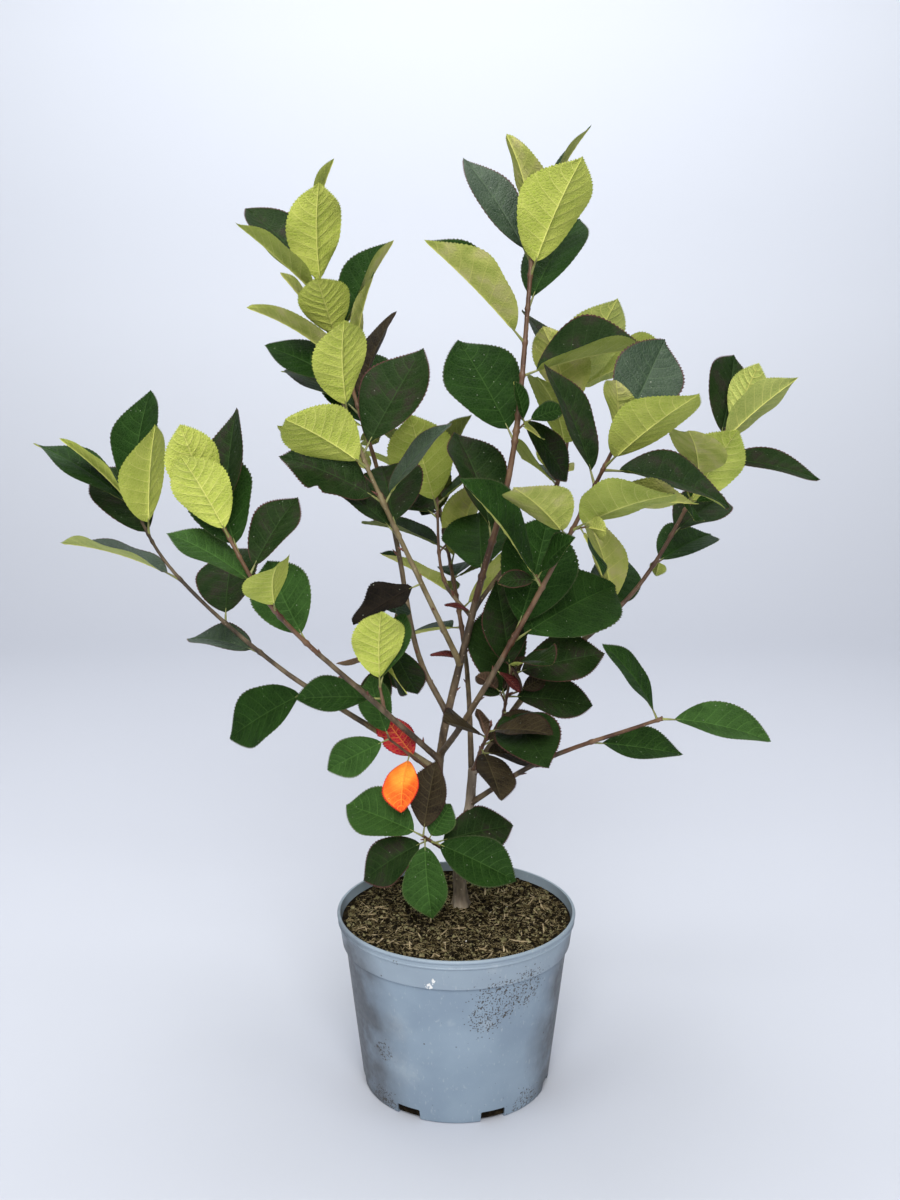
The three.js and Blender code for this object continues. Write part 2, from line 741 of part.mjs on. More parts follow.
// Foliage masses: a stem that runs on from its bough or springs from a limb, with buds and leaves fused on
// that stay clear of the masses before it, cut clear of the boughs and of the other stems
const axes = [...limbs.values()].flatMap((limb) => limb.points.slice(1).map((to, k) => [limb.points[k], to]));
const stems = new Map(SPRAYS.map(({ limb }) => [limb, limbs.get(limb).stem(GAP)]));
const placed = [];
const shown = new Map();
for (const spray of SPRAYS) {
  shown.set(spray.limb, settle(shownSeats(spray), limbs.get(spray.limb), spray.sky, placed, axes));
}
const masses = [];
for (const spray of SPRAYS) {
  const limb = limbs.get(spray.limb);
  const filling = settle(spiralSeats(spray, limb), limb, spray.sky, placed, axes);
  const leaves = [...shown.get(spray.limb), ...filling];
  const sprouts = [...growBuds(spray, limb), ...leaves.map(leafSolid)];
  const clear = sprouts.filter((sprout) => masses.every((mass) => sprout.intersect(mass).isEmpty()));
  const others = [...stems.keys()].filter((name) => name !== spray.limb).map((name) => stems.get(name));
  const whole = wasm.Manifold.union([limb.stem(), ...clear]);
  const mass = mainBody([...boughs, ...others].reduce((left, other) => left.subtract(other), whole));
  addMesh(plant, `foliage_${spray.limb}`, mass, FINISH.foliage);
  masses.push(mass);
}

export default plant;
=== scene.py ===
"""Potted chokeberry: a leafy shrub, its compost and its nursery pot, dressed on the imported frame.

Sizes are millimetres and angles degrees unless a name says otherwise. Meshes are in metres, with Z up and
the front towards -Y.
"""

import json
import logging
import math
from collections.abc import Callable, Iterable, Sequence
from dataclasses import dataclass, field
from enum import Enum
from functools import partial, reduce

import bmesh
import bpy
import numpy as np
from mathutils import Euler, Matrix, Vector
from mathutils.bvhtree import BVHTree

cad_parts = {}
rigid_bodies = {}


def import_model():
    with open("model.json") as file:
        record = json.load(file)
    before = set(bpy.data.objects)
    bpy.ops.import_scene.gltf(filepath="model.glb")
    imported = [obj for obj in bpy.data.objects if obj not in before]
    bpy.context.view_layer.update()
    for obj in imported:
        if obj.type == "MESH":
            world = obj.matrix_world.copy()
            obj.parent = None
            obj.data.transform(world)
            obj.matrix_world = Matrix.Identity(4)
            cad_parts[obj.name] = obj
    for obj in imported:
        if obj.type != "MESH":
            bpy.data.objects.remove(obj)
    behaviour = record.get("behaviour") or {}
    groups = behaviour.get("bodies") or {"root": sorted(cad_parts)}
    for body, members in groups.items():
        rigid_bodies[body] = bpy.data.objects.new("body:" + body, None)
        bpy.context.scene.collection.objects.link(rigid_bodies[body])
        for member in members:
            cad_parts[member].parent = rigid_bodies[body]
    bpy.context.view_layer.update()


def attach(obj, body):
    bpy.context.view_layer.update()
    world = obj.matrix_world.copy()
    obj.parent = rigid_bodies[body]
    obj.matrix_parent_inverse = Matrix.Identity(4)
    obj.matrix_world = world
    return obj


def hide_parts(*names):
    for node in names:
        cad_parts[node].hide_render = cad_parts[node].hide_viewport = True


Array = np.ndarray
Colour = tuple[float, float, float]
Point = tuple[float, float, float]
Pair = tuple[float, float]
Shades = tuple[Colour, ...]
Profile = list[Pair]
Material = bpy.types.Material
Piece = bpy.types.Object
Socket = bpy.types.NodeSocket
Draws = np.random.Generator

LOG = logging.getLogger("chokeberry")
MM = 0.001
BODY = "root"

# Corners nearer than this, in metres, are one, and edges sharper than this stay sharp
WELD = 2e-6
SHARP = math.radians(50)

# Rule of the seeded draws, and the offsets of the streams that a spray takes its leaves and buds from
DRAW_FACTOR = 1664525
DRAW_STEP = 1013904223
DRAW_RANGE = 2**32
STREAM_STEP = 7919
LEAF_STREAM = 17
SHOWN_STREAM = 3000
BUD_STREAM = 5000
DWARF_STREAM = 7000
QUIRK_STREAM = 9000
QUIRK_STEP = 131
STRAY_STREAM = 11000

GOLDEN_ANGLE = 137.5
CURVE_STEPS = 48
CURVE_SAMPLES = 41

# Place of the first leaf past the bare bough, and the run of stem that the tuft at the tip stands on
FIRST_LEAF = 0.04
TUFT_RUN = 24.0

UP = np.array([0.0, 0.0, 1.0])
BACK = np.array([0.0, 1.0, 0.0])

# Span of a whole share, spans of noise that shades and roughness take, and width of a net's lines
WHOLE = (0.0, 1.0)
CLOUD_ENDS = (0.34, 0.66)
GRAIN_ENDS = (0.3, 0.7)
NET_LINE = 0.22

# Least scale of a crossing that isn't edge on
FLAT = 1e-9


class Tint(Enum):
    """Colour of a leaf."""

    DARK = "dark"
    DEEP = "deep"
    BLUISH = "bluish"
    FRESH = "fresh"
    # Leaves inside the crown: a copy of the greens with painted shade on their undersides
    INNER = "inner"
    BRONZE = "bronze"
    MAROON = "maroon"
    RED = "red"
    ORANGE = "orange"
    DRIED = "dried"


# The tints, for the tables
DARK, DEEP, BLUISH, FRESH, INNER, BRONZE, MAROON, RED, ORANGE, DRIED = Tint


class Role(Enum):
    """Part that a limb has in the framework."""

    TRUNK = "trunk"
    STEM = "stem"
    BOUGH = "bough"
    SPUR = "spur"


class Bark(Enum):
    """Age and colour of a stretch of bark."""

    OLD = 0
    BROWN = 1
    TAN = 2
    YOUNG = 3


class Stain(Enum):
    """Kind of mark on the pot."""

    WHITE = "white"
    PALE = "pale"
    # Grime in part, and in part painted shade down the sides of the pot
    GRIME = "grime"
    DIRT = "dirt"


# Hand tools


def hold(obj: Piece) -> None:
    """Select one object alone and make it active.

    Args:
        obj: Object to hold.
    """
    bpy.ops.object.select_all(action="DESELECT")
    obj.select_set(True)
    bpy.context.view_layer.objects.active = obj


def pick(obj: Piece, test: Callable[[Vector], bool]) -> None:
    """Select, in edit mode, the corners that pass a test and no others.

    Args:
        obj: Object in edit mode.
        test: Test of a corner's place in metres.
    """
    mesh = bmesh.from_edit_mesh(obj.data)
    for corner in mesh.verts:
        corner.select_set(test(corner.co))
    mesh.select_flush_mode()
    bmesh.update_edit_mesh(obj.data)


def turn_outwards() -> None:
    """Turn all faces of the piece in edit mode outwards and leave edit mode."""
    bpy.ops.mesh.select_all(action="SELECT")
    bpy.ops.mesh.normals_make_consistent(inside=False)
    bpy.ops.object.mode_set(mode="OBJECT")


def weld(obj: Piece) -> None:
    """Merge corners that lie on each other, close the poles and turn the faces outwards."""
    hold(obj)
    bpy.ops.object.mode_set(mode="EDIT")
    bpy.ops.mesh.select_all(action="SELECT")
    bpy.ops.mesh.remove_doubles(threshold=WELD)
    turn_outwards()


def ring(name: str, facets: int, radius: float, height: float) -> Piece:
    """Start a piece as a filled ring, with its place in its mesh.

    Args:
        name: Name of the piece.
        facets: Number of sides of the ring.
        radius: Radius of the ring.
        height: Height of the ring.

    Returns:
        The piece, selected all over in edit mode.
    """
    bpy.ops.object.select_all(action="DESELECT")
    bpy.ops.mesh.primitive_circle_add(
        vertices=facets, radius=radius * MM, fill_type="NGON", location=(0, 0, height * MM)
    )
    piece = bpy.context.object
    piece.name = piece.data.name = name
    bpy.ops.object.transform_apply(location=True, rotation=False, scale=False)
    bpy.ops.object.mode_set(mode="EDIT")
    bpy.ops.mesh.select_all(action="SELECT")
    return piece


def draw_on(section: Profile) -> None:
    """Draw the selected ring on along a half section and close the last ring.

    Args:
        section: Pairs of radius and height, from those of the selected ring on.
    """
    for (radius, height), (wider, higher) in zip(section, section[1:], strict=False):
        rise = (0, 0, (higher - height) * MM)
        bpy.ops.mesh.extrude_region_move(TRANSFORM_OT_translate={"value": rise})
        grow = wider / radius
        bpy.ops.transform.resize(value=(grow, grow, 1.0), center_override=(0, 0, 0))
    bpy.ops.mesh.edge_face_add()


def smooth(obj: Piece) -> None:
    """Shade smoothly, except over sharp edges."""
    hold(obj)
    bpy.ops.object.shade_smooth_by_angle(angle=SHARP)


def dress(obj: Piece, materials: Iterable[Material]) -> None:
    """Give an object its materials in the order of its slots."""
    for material in materials:
        obj.data.materials.append(material)


def seat(obj: Piece, slot: str, nodes: Iterable[str] = ()) -> Piece:
    """Let a piece ride on the part and stand for CAD nodes.

    Args:
        obj: Finished piece.
        slot: Material slot of the record; not used.
        nodes: CAD nodes that it replaces.

    Returns:
        The same piece.
    """
    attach(obj, BODY)
    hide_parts(*nodes)
    return obj


@dataclass
class Heap:
    """Corners and faces of many small shapes on their way into one joined mesh."""

    corners: list[Array] = field(default_factory=list)
    faces: list[Array] = field(default_factory=list)
    slots: list[Array] = field(default_factory=list)
    count: int = 0

    def add(self, corners: Array, faces: Array, slots: Array | int = 0) -> None:
        """Put a shape on the heap.

        Args:
            corners: Places of its corners in millimetres.
            faces: Corner numbers of its faces, one face a row.
            slots: Material slot of each face, or of all.
        """
        self.corners.append(corners)
        self.faces.append(faces + self.count)
        self.slots.append(np.broadcast_to(slots, len(faces)))
        self.count += len(corners)

    def piece(self, name: str, materials: Sequence[Material]) -> Piece:
        """Join the heap into one welded and dressed object.

        Args:
            name: Name of the piece.
            materials: Materials in the order of the slots.

        Returns:
            The object, at the origin.
        """
        mesh = bpy.data.meshes.new(name)
        corners = np.concatenate(self.corners) * MM
        faces = np.concatenate(self.faces)
        mesh.vertices.add(len(corners))
        mesh.vertices.foreach_set("co", corners.ravel())
        mesh.loops.add(faces.size)
        mesh.loops.foreach_set("vertex_index", faces.ravel())
        mesh.polygons.add(len(faces))
        mesh.polygons.foreach_set("loop_start", np.arange(len(faces)) * faces.shape[1])
        mesh.polygons.foreach_set("material_index", np.concatenate(self.slots))
        mesh.update(calc_edges=True)
        obj = bpy.data.objects.new(name, mesh)
        bpy.context.scene.collection.objects.link(obj)
        dress(obj, materials)
        weld(obj)
        smooth(obj)
        return obj


def quads(rows: int, columns: int, closed: bool) -> Array:
    """Corner numbers of the faces of a net.

    Args:
        rows: Number of rows of corners.
        columns: Number of corners in a row.
        closed: Whether the last corner of a row joins the first.

    Returns:
        Four corner numbers a face, row by row.
    """
    row = np.arange(rows - 1)[:, None] * columns
    column = np.arange(columns if closed else columns - 1)
    following = (column + 1) % columns
    low = row + column
    high = row + following
    return np.stack([low, high, high + columns, low + columns], axis=-1).reshape(-1, 4)


def unit(vectors: Array) -> Array:
    """Vectors brought to the length of one."""
    return vectors / np.linalg.norm(vectors, axis=-1, keepdims=True)


def across_of(axes: Array) -> tuple[Array, Array]:
    """Directions across axes, towards the back and the left.

    Args:
        axes: Unit axes.

    Returns:
        The two directions for each axis.
    """
    back = unit(BACK - axes * axes[..., 1:2])
    return back, np.cross(axes, back)


def tube(points: Array, radii: Array, sides: int) -> tuple[Array, Array]:
    """Closed tube about a line of points.

    Args:
        points: Points of the line.
        radii: Radius at each point, or at each point and side.
        sides: Number of sides.

    Returns:
        Corners and faces.
    """
    back, left = across_of(unit(np.gradient(points, axis=0)))
    turns = np.arange(sides) * (2 * math.pi / sides)
    spokes = back[:, None] * np.cos(turns)[:, None] + left[:, None] * np.sin(turns)[:, None]
    reach = np.broadcast_to(radii if radii.ndim == 2 else radii[:, None], (len(points), sides))
    rings = points[:, None] + spokes * reach[..., None]
    poles = [np.broadcast_to(end, (1, sides, 3)) for end in (points[0], points[-1])]
    corners = np.concatenate([poles[0], rings, poles[1]])
    return corners.reshape(-1, 3), quads(len(points) + 2, sides, closed=True)


# Finishes

# Sockets of a mix of colours, which have their names more than once
MIX_GROUND = 6
MIX_COLOUR = 7
MIX_RESULT = 2


class Wiring:
    """Nodes of one material, laid over Object coordinates."""

    def __init__(self, name: str) -> None:
        """Start a material with a bare shader.

        Args:
            name: Name of the material.
        """
        self.material = bpy.data.materials.new(name)
        self.material.use_nodes = True
        self.nodes = self.material.node_tree.nodes
        self.shader = self.nodes["Principled BSDF"]
        self.place = self.node("TexCoord").outputs["Object"]

    def link(self, source: Socket, target: Socket) -> None:
        """Lead one socket into another."""
        self.material.node_tree.links.new(source, target)

    def node(self, kind: str, **values: Socket | Sequence[float] | float) -> bpy.types.Node:
        """Add a node and set some of its inputs.

        Args:
            kind: Kind of the node, past the words that all kinds start with.
            values: Values of its inputs, or sockets that lead into them, by name.

        Returns:
            The node.
        """
        node = self.nodes.new(f"ShaderNode{kind}")
        for name, value in values.items():
            if isinstance(value, Socket):
                self.link(value, node.inputs[name])
            else:
                node.inputs[name].default_value = value
        return node

    def noise(self, size: float, detail: float = 3.0, stretch: Point = (1.0, 1.0, 1.0)) -> Socket:
        """Cloudy pattern.

        Args:
            size: Width of its patches.
            detail: Octaves of finer noise.
            stretch: How much closer the pattern lies along each axis.

        Returns:
            Socket with shares about a half.
        """
        place = self.node("Mapping", Scale=stretch, Vector=self.place).outputs["Vector"]
        node = self.node("TexNoise", Scale=1 / (size * MM), Detail=detail, Vector=place)
        return node.outputs["Fac"]

    def dots(self, size: float) -> Socket:
        """Distance from scattered points of a spacing, in shares of that spacing."""
        node = self.node("TexVoronoi", Scale=1 / (size * MM), Vector=self.place)
        return node.outputs["Distance"]

    def net(self, size: float) -> Socket:
        """Fine net of lines, with its cells raised between them.

        Args:
            size: Width of its cells.

        Returns:
            Socket with nothing on the lines and one inside the cells.
        """
        node = self.node("TexVoronoi", Scale=1 / (size * MM), Vector=self.place)
        node.feature = "DISTANCE_TO_EDGE"
        return self.span(node.outputs["Distance"], (0.0, NET_LINE), WHOLE)

    def height(self) -> Socket:
        """Height above the ground, in metres."""
        return self.node("SeparateXYZ", Vector=self.place).outputs["Z"]

    def span(self, share: Socket, source: Sequence[float], target: Sequence[float]) -> Socket:
        """Bring a span of values to another span, clamped.

        Args:
            share: Values.
            source: First and last value of the span they come from.
            target: First and last value of the span they go to.

        Returns:
            Socket with the new values.
        """
        names = ("From Min", "From Max", "To Min", "To Max")
        ends = dict(zip(names, (*source, *target), strict=True))
        return self.node("MapRange", Value=share, **ends).outputs["Result"]

    def sum(self, operation: str, *values: Socket) -> Socket:
        """Work one value out from two.

        Args:
            operation: Name of the operation.
            values: The two values.

        Returns:
            Socket with the result.
        """
        node = self.node("Math")
        node.operation = operation
        for value, target in zip(values, node.inputs, strict=False):
            self.link(value, target)
        return node.outputs["Value"]

    def near(self, centre: Array, reach: float) -> Socket:
        """Nearness to a point, one at the point and nothing from its reach on.

        Args:
            centre: The point.
            reach: How far it reaches.

        Returns:
            Socket with the nearness.
        """
        node = self.node("VectorMath")
        node.operation = "DISTANCE"
        self.link(self.place, node.inputs[0])
        node.inputs[1].default_value = centre * MM
        return self.span(node.outputs["Value"], (0.0, reach * MM), (1.0, 0.0))

    def ramp(self, share: Socket, shades: Sequence[Colour], ends: Sequence[float]) -> Socket:
        """Run through shades.

        Args:
            share: Values that choose the shade.
            shades: Shades from the lowest value to the highest.
            ends: Values of the first and last shade.

        Returns:
            Socket with the colours.
        """
        node = self.node("ValToRGB", Fac=share)
        stops = node.color_ramp.elements
        places = np.linspace(*ends, len(shades))
        while len(stops) < len(shades):
            stops.new(0.5)
        for stop, place, shade in zip(stops, places, shades, strict=True):
            stop.position = place
            stop.color = (*shade, 1.0)
        return node.outputs["Color"]

    def over(self, share: Socket, ground: Socket, colour: Colour) -> Socket:
        """Lay a colour over a ground.

        Args:
            share: How much of the colour covers the ground.
            ground: Colour below.
            colour: Colour above.

        Returns:
            Socket with the colours.
        """
        node = self.node("Mix", Factor=share)
        node.data_type = "RGBA"
        self.link(ground, node.inputs[MIX_GROUND])
        node.inputs[MIX_COLOUR].default_value = (*colour, 1.0)
        return node.outputs[MIX_RESULT]

    def relief(self, height: Socket, depth: float) -> None:
        """Raise the surface by a pattern, from nothing up to a depth."""
        node = self.node("Bump", Distance=depth * MM, Height=height)
        self.link(node.outputs["Normal"], self.shader.inputs["Normal"])


@dataclass(frozen=True)
class Mottled:
    """Natural surface: shades in soft patches, a fine grain, and flecks where it has them."""

    name: str
    shades: Shades
    patch: float
    grain: float
    depth: float
    roughness: Pair
    specular: float = 0.5
    stretch: Point = (1.0, 1.0, 1.0)
    fleck: Colour | None = None
    fleck_size: float = 5.0
    fleck_reach: float = 0.14
    net: Colour | None = None
    net_size: float = 2.4
    net_cover: float = 0.4

    def material(self) -> Material:
        """Make the material."""
        wiring = Wiring(self.name)
        clouds = wiring.noise(self.patch, stretch=self.stretch)
        colours = wiring.ramp(clouds, self.shades, CLOUD_ENDS)
        if self.fleck is not None:
            reach = (self.fleck_reach, self.fleck_reach / 2)
            flecks = wiring.span(wiring.dots(self.fleck_size), reach, WHOLE)
            colours = wiring.over(flecks, colours, self.fleck)
        grain = wiring.noise(self.grain, stretch=self.stretch)
        height = grain
        if self.net is not None:
            cells = wiring.net(self.net_size)
            colours = wiring.over(wiring.span(cells, WHOLE, (self.net_cover, 0.0)), colours, self.net)
            height = wiring.sum("ADD", grain, cells)
        wiring.link(colours, wiring.shader.inputs["Base Color"])
        wiring.link(wiring.span(grain, GRAIN_ENDS, self.roughness), wiring.shader.inputs["Roughness"])
        wiring.relief(height, self.depth)
        wiring.shader.inputs["Specular IOR Level"].default_value = self.specular
        return wiring.material


def toned(shade: Colour, factor: float) -> Colour:
    """Shade made lighter or darker by a factor."""
    return (shade[0] * factor, shade[1] * factor, shade[2] * factor)


@dataclass(frozen=True)
class LeafCoat:
    """Colours of a leaf: upper side, underside, and the veins and edge of each."""

    upper: Shades
    under: Shades
    vein: Colour
    rib: Colour
    edge: Colour
    gloss: Pair = (0.42, 0.6)
    matt: Pair = (0.55, 0.75)
    specular: float = 0.05
    patch: float = 16.0
    grain: float = 1.1
    depth: float = 0.24
    fleck: Colour = (0.42, 0.45, 0.36)
    fleck_size: float = 6.0
    fleck_reach: float = 0.07
    vein_tone: float = 1.25
    rib_tone: float = 1.2
    edge_tone: float = 1.4

    def materials(self, tint: Tint) -> list[Material]:
        """Make the materials of the five slots of a leaf piece.

        Args:
            tint: Tint that names them.

        Returns:
            Upper side, underside, upper veins, lower ribs and edge.
        """
        rows = (
            ("upper", self.upper, self.gloss, self.fleck, self.vein),
            ("under", self.under, self.matt, None, self.rib),
            ("vein", (self.vein, toned(self.vein, self.vein_tone)), self.gloss, None, None),
            ("rib", (self.rib, toned(self.rib, self.rib_tone)), self.matt, None, None),
            ("edge", (self.edge, toned(self.edge, self.edge_tone)), self.matt, None, None),
        )
        made = []
        for side, shades, roughness, fleck, net in rows:
            finish = Mottled(
                f"leaf_{tint.value}_{side}", shades, self.patch, self.grain, self.depth, roughness,
                specular=self.specular, fleck=fleck, fleck_size=self.fleck_size, fleck_reach=self.fleck_reach,
                net=net,
            )
            made.append(finish.material())
        return made


PALE_UNDER = ((0.36, 0.42, 0.082), (0.48, 0.52, 0.125), (0.57, 0.54, 0.215))
PALE_RIB = (0.58, 0.58, 0.16)
PURPLE_EDGE = (0.06, 0.028, 0.024)

LEAF_COATS: dict[Tint, LeafCoat] = {
    DARK: LeafCoat(
        upper=((0.008, 0.022, 0.004), (0.015, 0.030, 0.008), (0.028, 0.025, 0.018)),
        under=((0.29, 0.36, 0.06), (0.40, 0.46, 0.09)),
        vein=(0.024, 0.048, 0.013), rib=(0.48, 0.50, 0.14), edge=PURPLE_EDGE,
    ),
    DEEP: LeafCoat(
        upper=((0.008, 0.026, 0.004), (0.015, 0.045, 0.007)),
        under=PALE_UNDER,
        vein=(0.030, 0.068, 0.015), rib=PALE_RIB, edge=(0.035, 0.05, 0.02),
    ),
    BLUISH: LeafCoat(
        upper=((0.020, 0.040, 0.022), (0.038, 0.066, 0.037)),
        under=((0.31, 0.38, 0.08), (0.42, 0.48, 0.12)),
        vein=(0.048, 0.080, 0.040), rib=PALE_RIB, edge=PURPLE_EDGE,
        specular=0.24,
    ),
    FRESH: LeafCoat(
        upper=((0.020, 0.052, 0.010), (0.035, 0.086, 0.018)),
        under=((0.41, 0.49, 0.075), (0.52, 0.58, 0.11)),
        vein=(0.048, 0.110, 0.024), rib=(0.62, 0.63, 0.17), edge=(0.05, 0.08, 0.025),
    ),
    # Painted shade: a copy of the greens for leaves inside the crown, with dull, dark undersides where shade
    # falls
    INNER: LeafCoat(
        upper=((0.009, 0.023, 0.005), (0.018, 0.040, 0.009)),
        under=((0.085, 0.110, 0.024), (0.140, 0.170, 0.038)),
        vein=(0.024, 0.050, 0.013), rib=(0.17, 0.19, 0.055), edge=PURPLE_EDGE,
    ),
    BRONZE: LeafCoat(
        upper=((0.018, 0.013, 0.009), (0.046, 0.034, 0.019)),
        under=((0.06, 0.045, 0.028), (0.11, 0.075, 0.045)),
        vein=(0.058, 0.046, 0.024), rib=(0.13, 0.075, 0.05), edge=(0.03, 0.014, 0.012),
    ),
    MAROON: LeafCoat(
        upper=((0.045, 0.008, 0.010), (0.120, 0.022, 0.024)),
        under=((0.10, 0.03, 0.025), (0.17, 0.06, 0.045)),
        vein=(0.13, 0.035, 0.03), rib=(0.18, 0.07, 0.05), edge=(0.04, 0.008, 0.010),
    ),
    RED: LeafCoat(
        upper=((0.28, 0.008, 0.030), (0.56, 0.022, 0.045)),
        under=((0.42, 0.05, 0.05), (0.60, 0.14, 0.07)),
        vein=(0.58, 0.16, 0.05), rib=(0.62, 0.24, 0.10), edge=(0.22, 0.008, 0.02),
    ),
    ORANGE: LeafCoat(
        upper=((0.66, 0.022, 0.016), (0.86, 0.13, 0.02), (0.96, 0.40, 0.05)),
        under=((0.80, 0.22, 0.04), (0.92, 0.40, 0.08)),
        vein=(0.92, 0.24, 0.035), rib=(0.92, 0.34, 0.07), edge=(0.60, 0.03, 0.02),
        patch=34.0,
    ),
    DRIED: LeafCoat(
        upper=((0.008, 0.007, 0.006), (0.022, 0.017, 0.013)),
        under=((0.014, 0.011, 0.009), (0.03, 0.023, 0.017)),
        vein=(0.02, 0.015, 0.011), rib=(0.03, 0.022, 0.015), edge=(0.01, 0.008, 0.006),
        gloss=(0.6, 0.85),
        matt=(0.7, 0.9),
    ),
}

BARK_FINISHES: dict[Bark, Mottled] = {
    # Pale grey-brown old bark, painted paler still as painted light against the shade of the leaves
    Bark.OLD: Mottled(
        name="bark_old_and_lit",
        shades=((0.13, 0.102, 0.074), (0.25, 0.20, 0.15), (0.40, 0.34, 0.265)),
        patch=9.0, grain=1.6, depth=0.5, roughness=(0.7, 0.95),
        stretch=(1.0, 1.0, 0.35),
        fleck=(0.36, 0.30, 0.23),
        fleck_size=6.0,
    ),
    Bark.BROWN: Mottled(
        name="bark_brown",
        shades=((0.044, 0.029, 0.017), (0.094, 0.063, 0.035), (0.165, 0.118, 0.068)),
        patch=8.0, grain=1.1, depth=0.25, roughness=(0.5, 0.75),
        stretch=(1.0, 1.0, 0.4),
        fleck=(0.30, 0.23, 0.16),
    ),
    Bark.TAN: Mottled(
        name="bark_tan",
        shades=((0.115, 0.082, 0.036), (0.19, 0.145, 0.07), (0.25, 0.20, 0.11)),
        patch=8.0, grain=1.1, depth=0.2, roughness=(0.45, 0.7),
        stretch=(1.0, 1.0, 0.4),
        fleck=(0.33, 0.28, 0.18),
    ),
    Bark.YOUNG: Mottled(
        name="bark_young",
        shades=((0.058, 0.024, 0.013), (0.108, 0.052, 0.027), (0.165, 0.092, 0.048)),
        patch=10.0, grain=0.9, depth=0.15, roughness=(0.4, 0.62),
        stretch=(1.0, 1.0, 0.4),
        fleck=(0.28, 0.18, 0.12),
        fleck_size=4.0,
    ),
}

STALK_FINISH = Mottled(
    name="leaf_stalk",
    shades=((0.16, 0.16, 0.05), (0.27, 0.29, 0.09)),
    patch=7.0, grain=0.6, depth=0.08, roughness=(0.45, 0.62),
)
BUD_FINISH = Mottled(
    name="bud_scale",
    shades=((0.07, 0.018, 0.014), (0.15, 0.05, 0.03)),
    patch=2.5, grain=0.5, depth=0.1, roughness=(0.4, 0.6),
)


POT_PALE: Colour = (0.40, 0.45, 0.49)

# Marks on the pot's wall by kind: turn from the front, height and reach
POT_MARKS: dict[Stain, tuple[Point, ...]] = {
    Stain.PALE: (
        (17, 135, 11), (15, 87, 13), (-3, 90, 7), (-33, 80, 24), (-30, 42, 26), (58, 106, 12), (42, 125, 6),
        (120, 70, 30), (-120, 95, 26),
    ),
    # Grime with painted shade, dark over both sides of the wall where it turns from the light, and at the
    # back
    Stain.GRIME: (
        (-74, 104, 66), (-72, 66, 72), (-70, 20, 66), (82, 96, 58), (80, 52, 62), (84, 10, 56), (170, 30, 80),
    ),
    Stain.WHITE: ((-13, 122, 9), (-11, 127, 6)),
    Stain.DIRT: (
        (22, 107, 34), (36, 112, 30), (15, 93, 24), (-29, 137, 4), (-44, 52, 16), (46, 4, 26), (-48, 4, 24),
        (150, 100, 24),
    ),
}


@dataclass(frozen=True)
class Smudge:
    """How marks of a kind cover the wall: colour, size and detail of their fraying, its span, and cover."""

    stain: Stain
    colour: Colour
    size: float
    detail: float
    ends: Pair
    cover: float


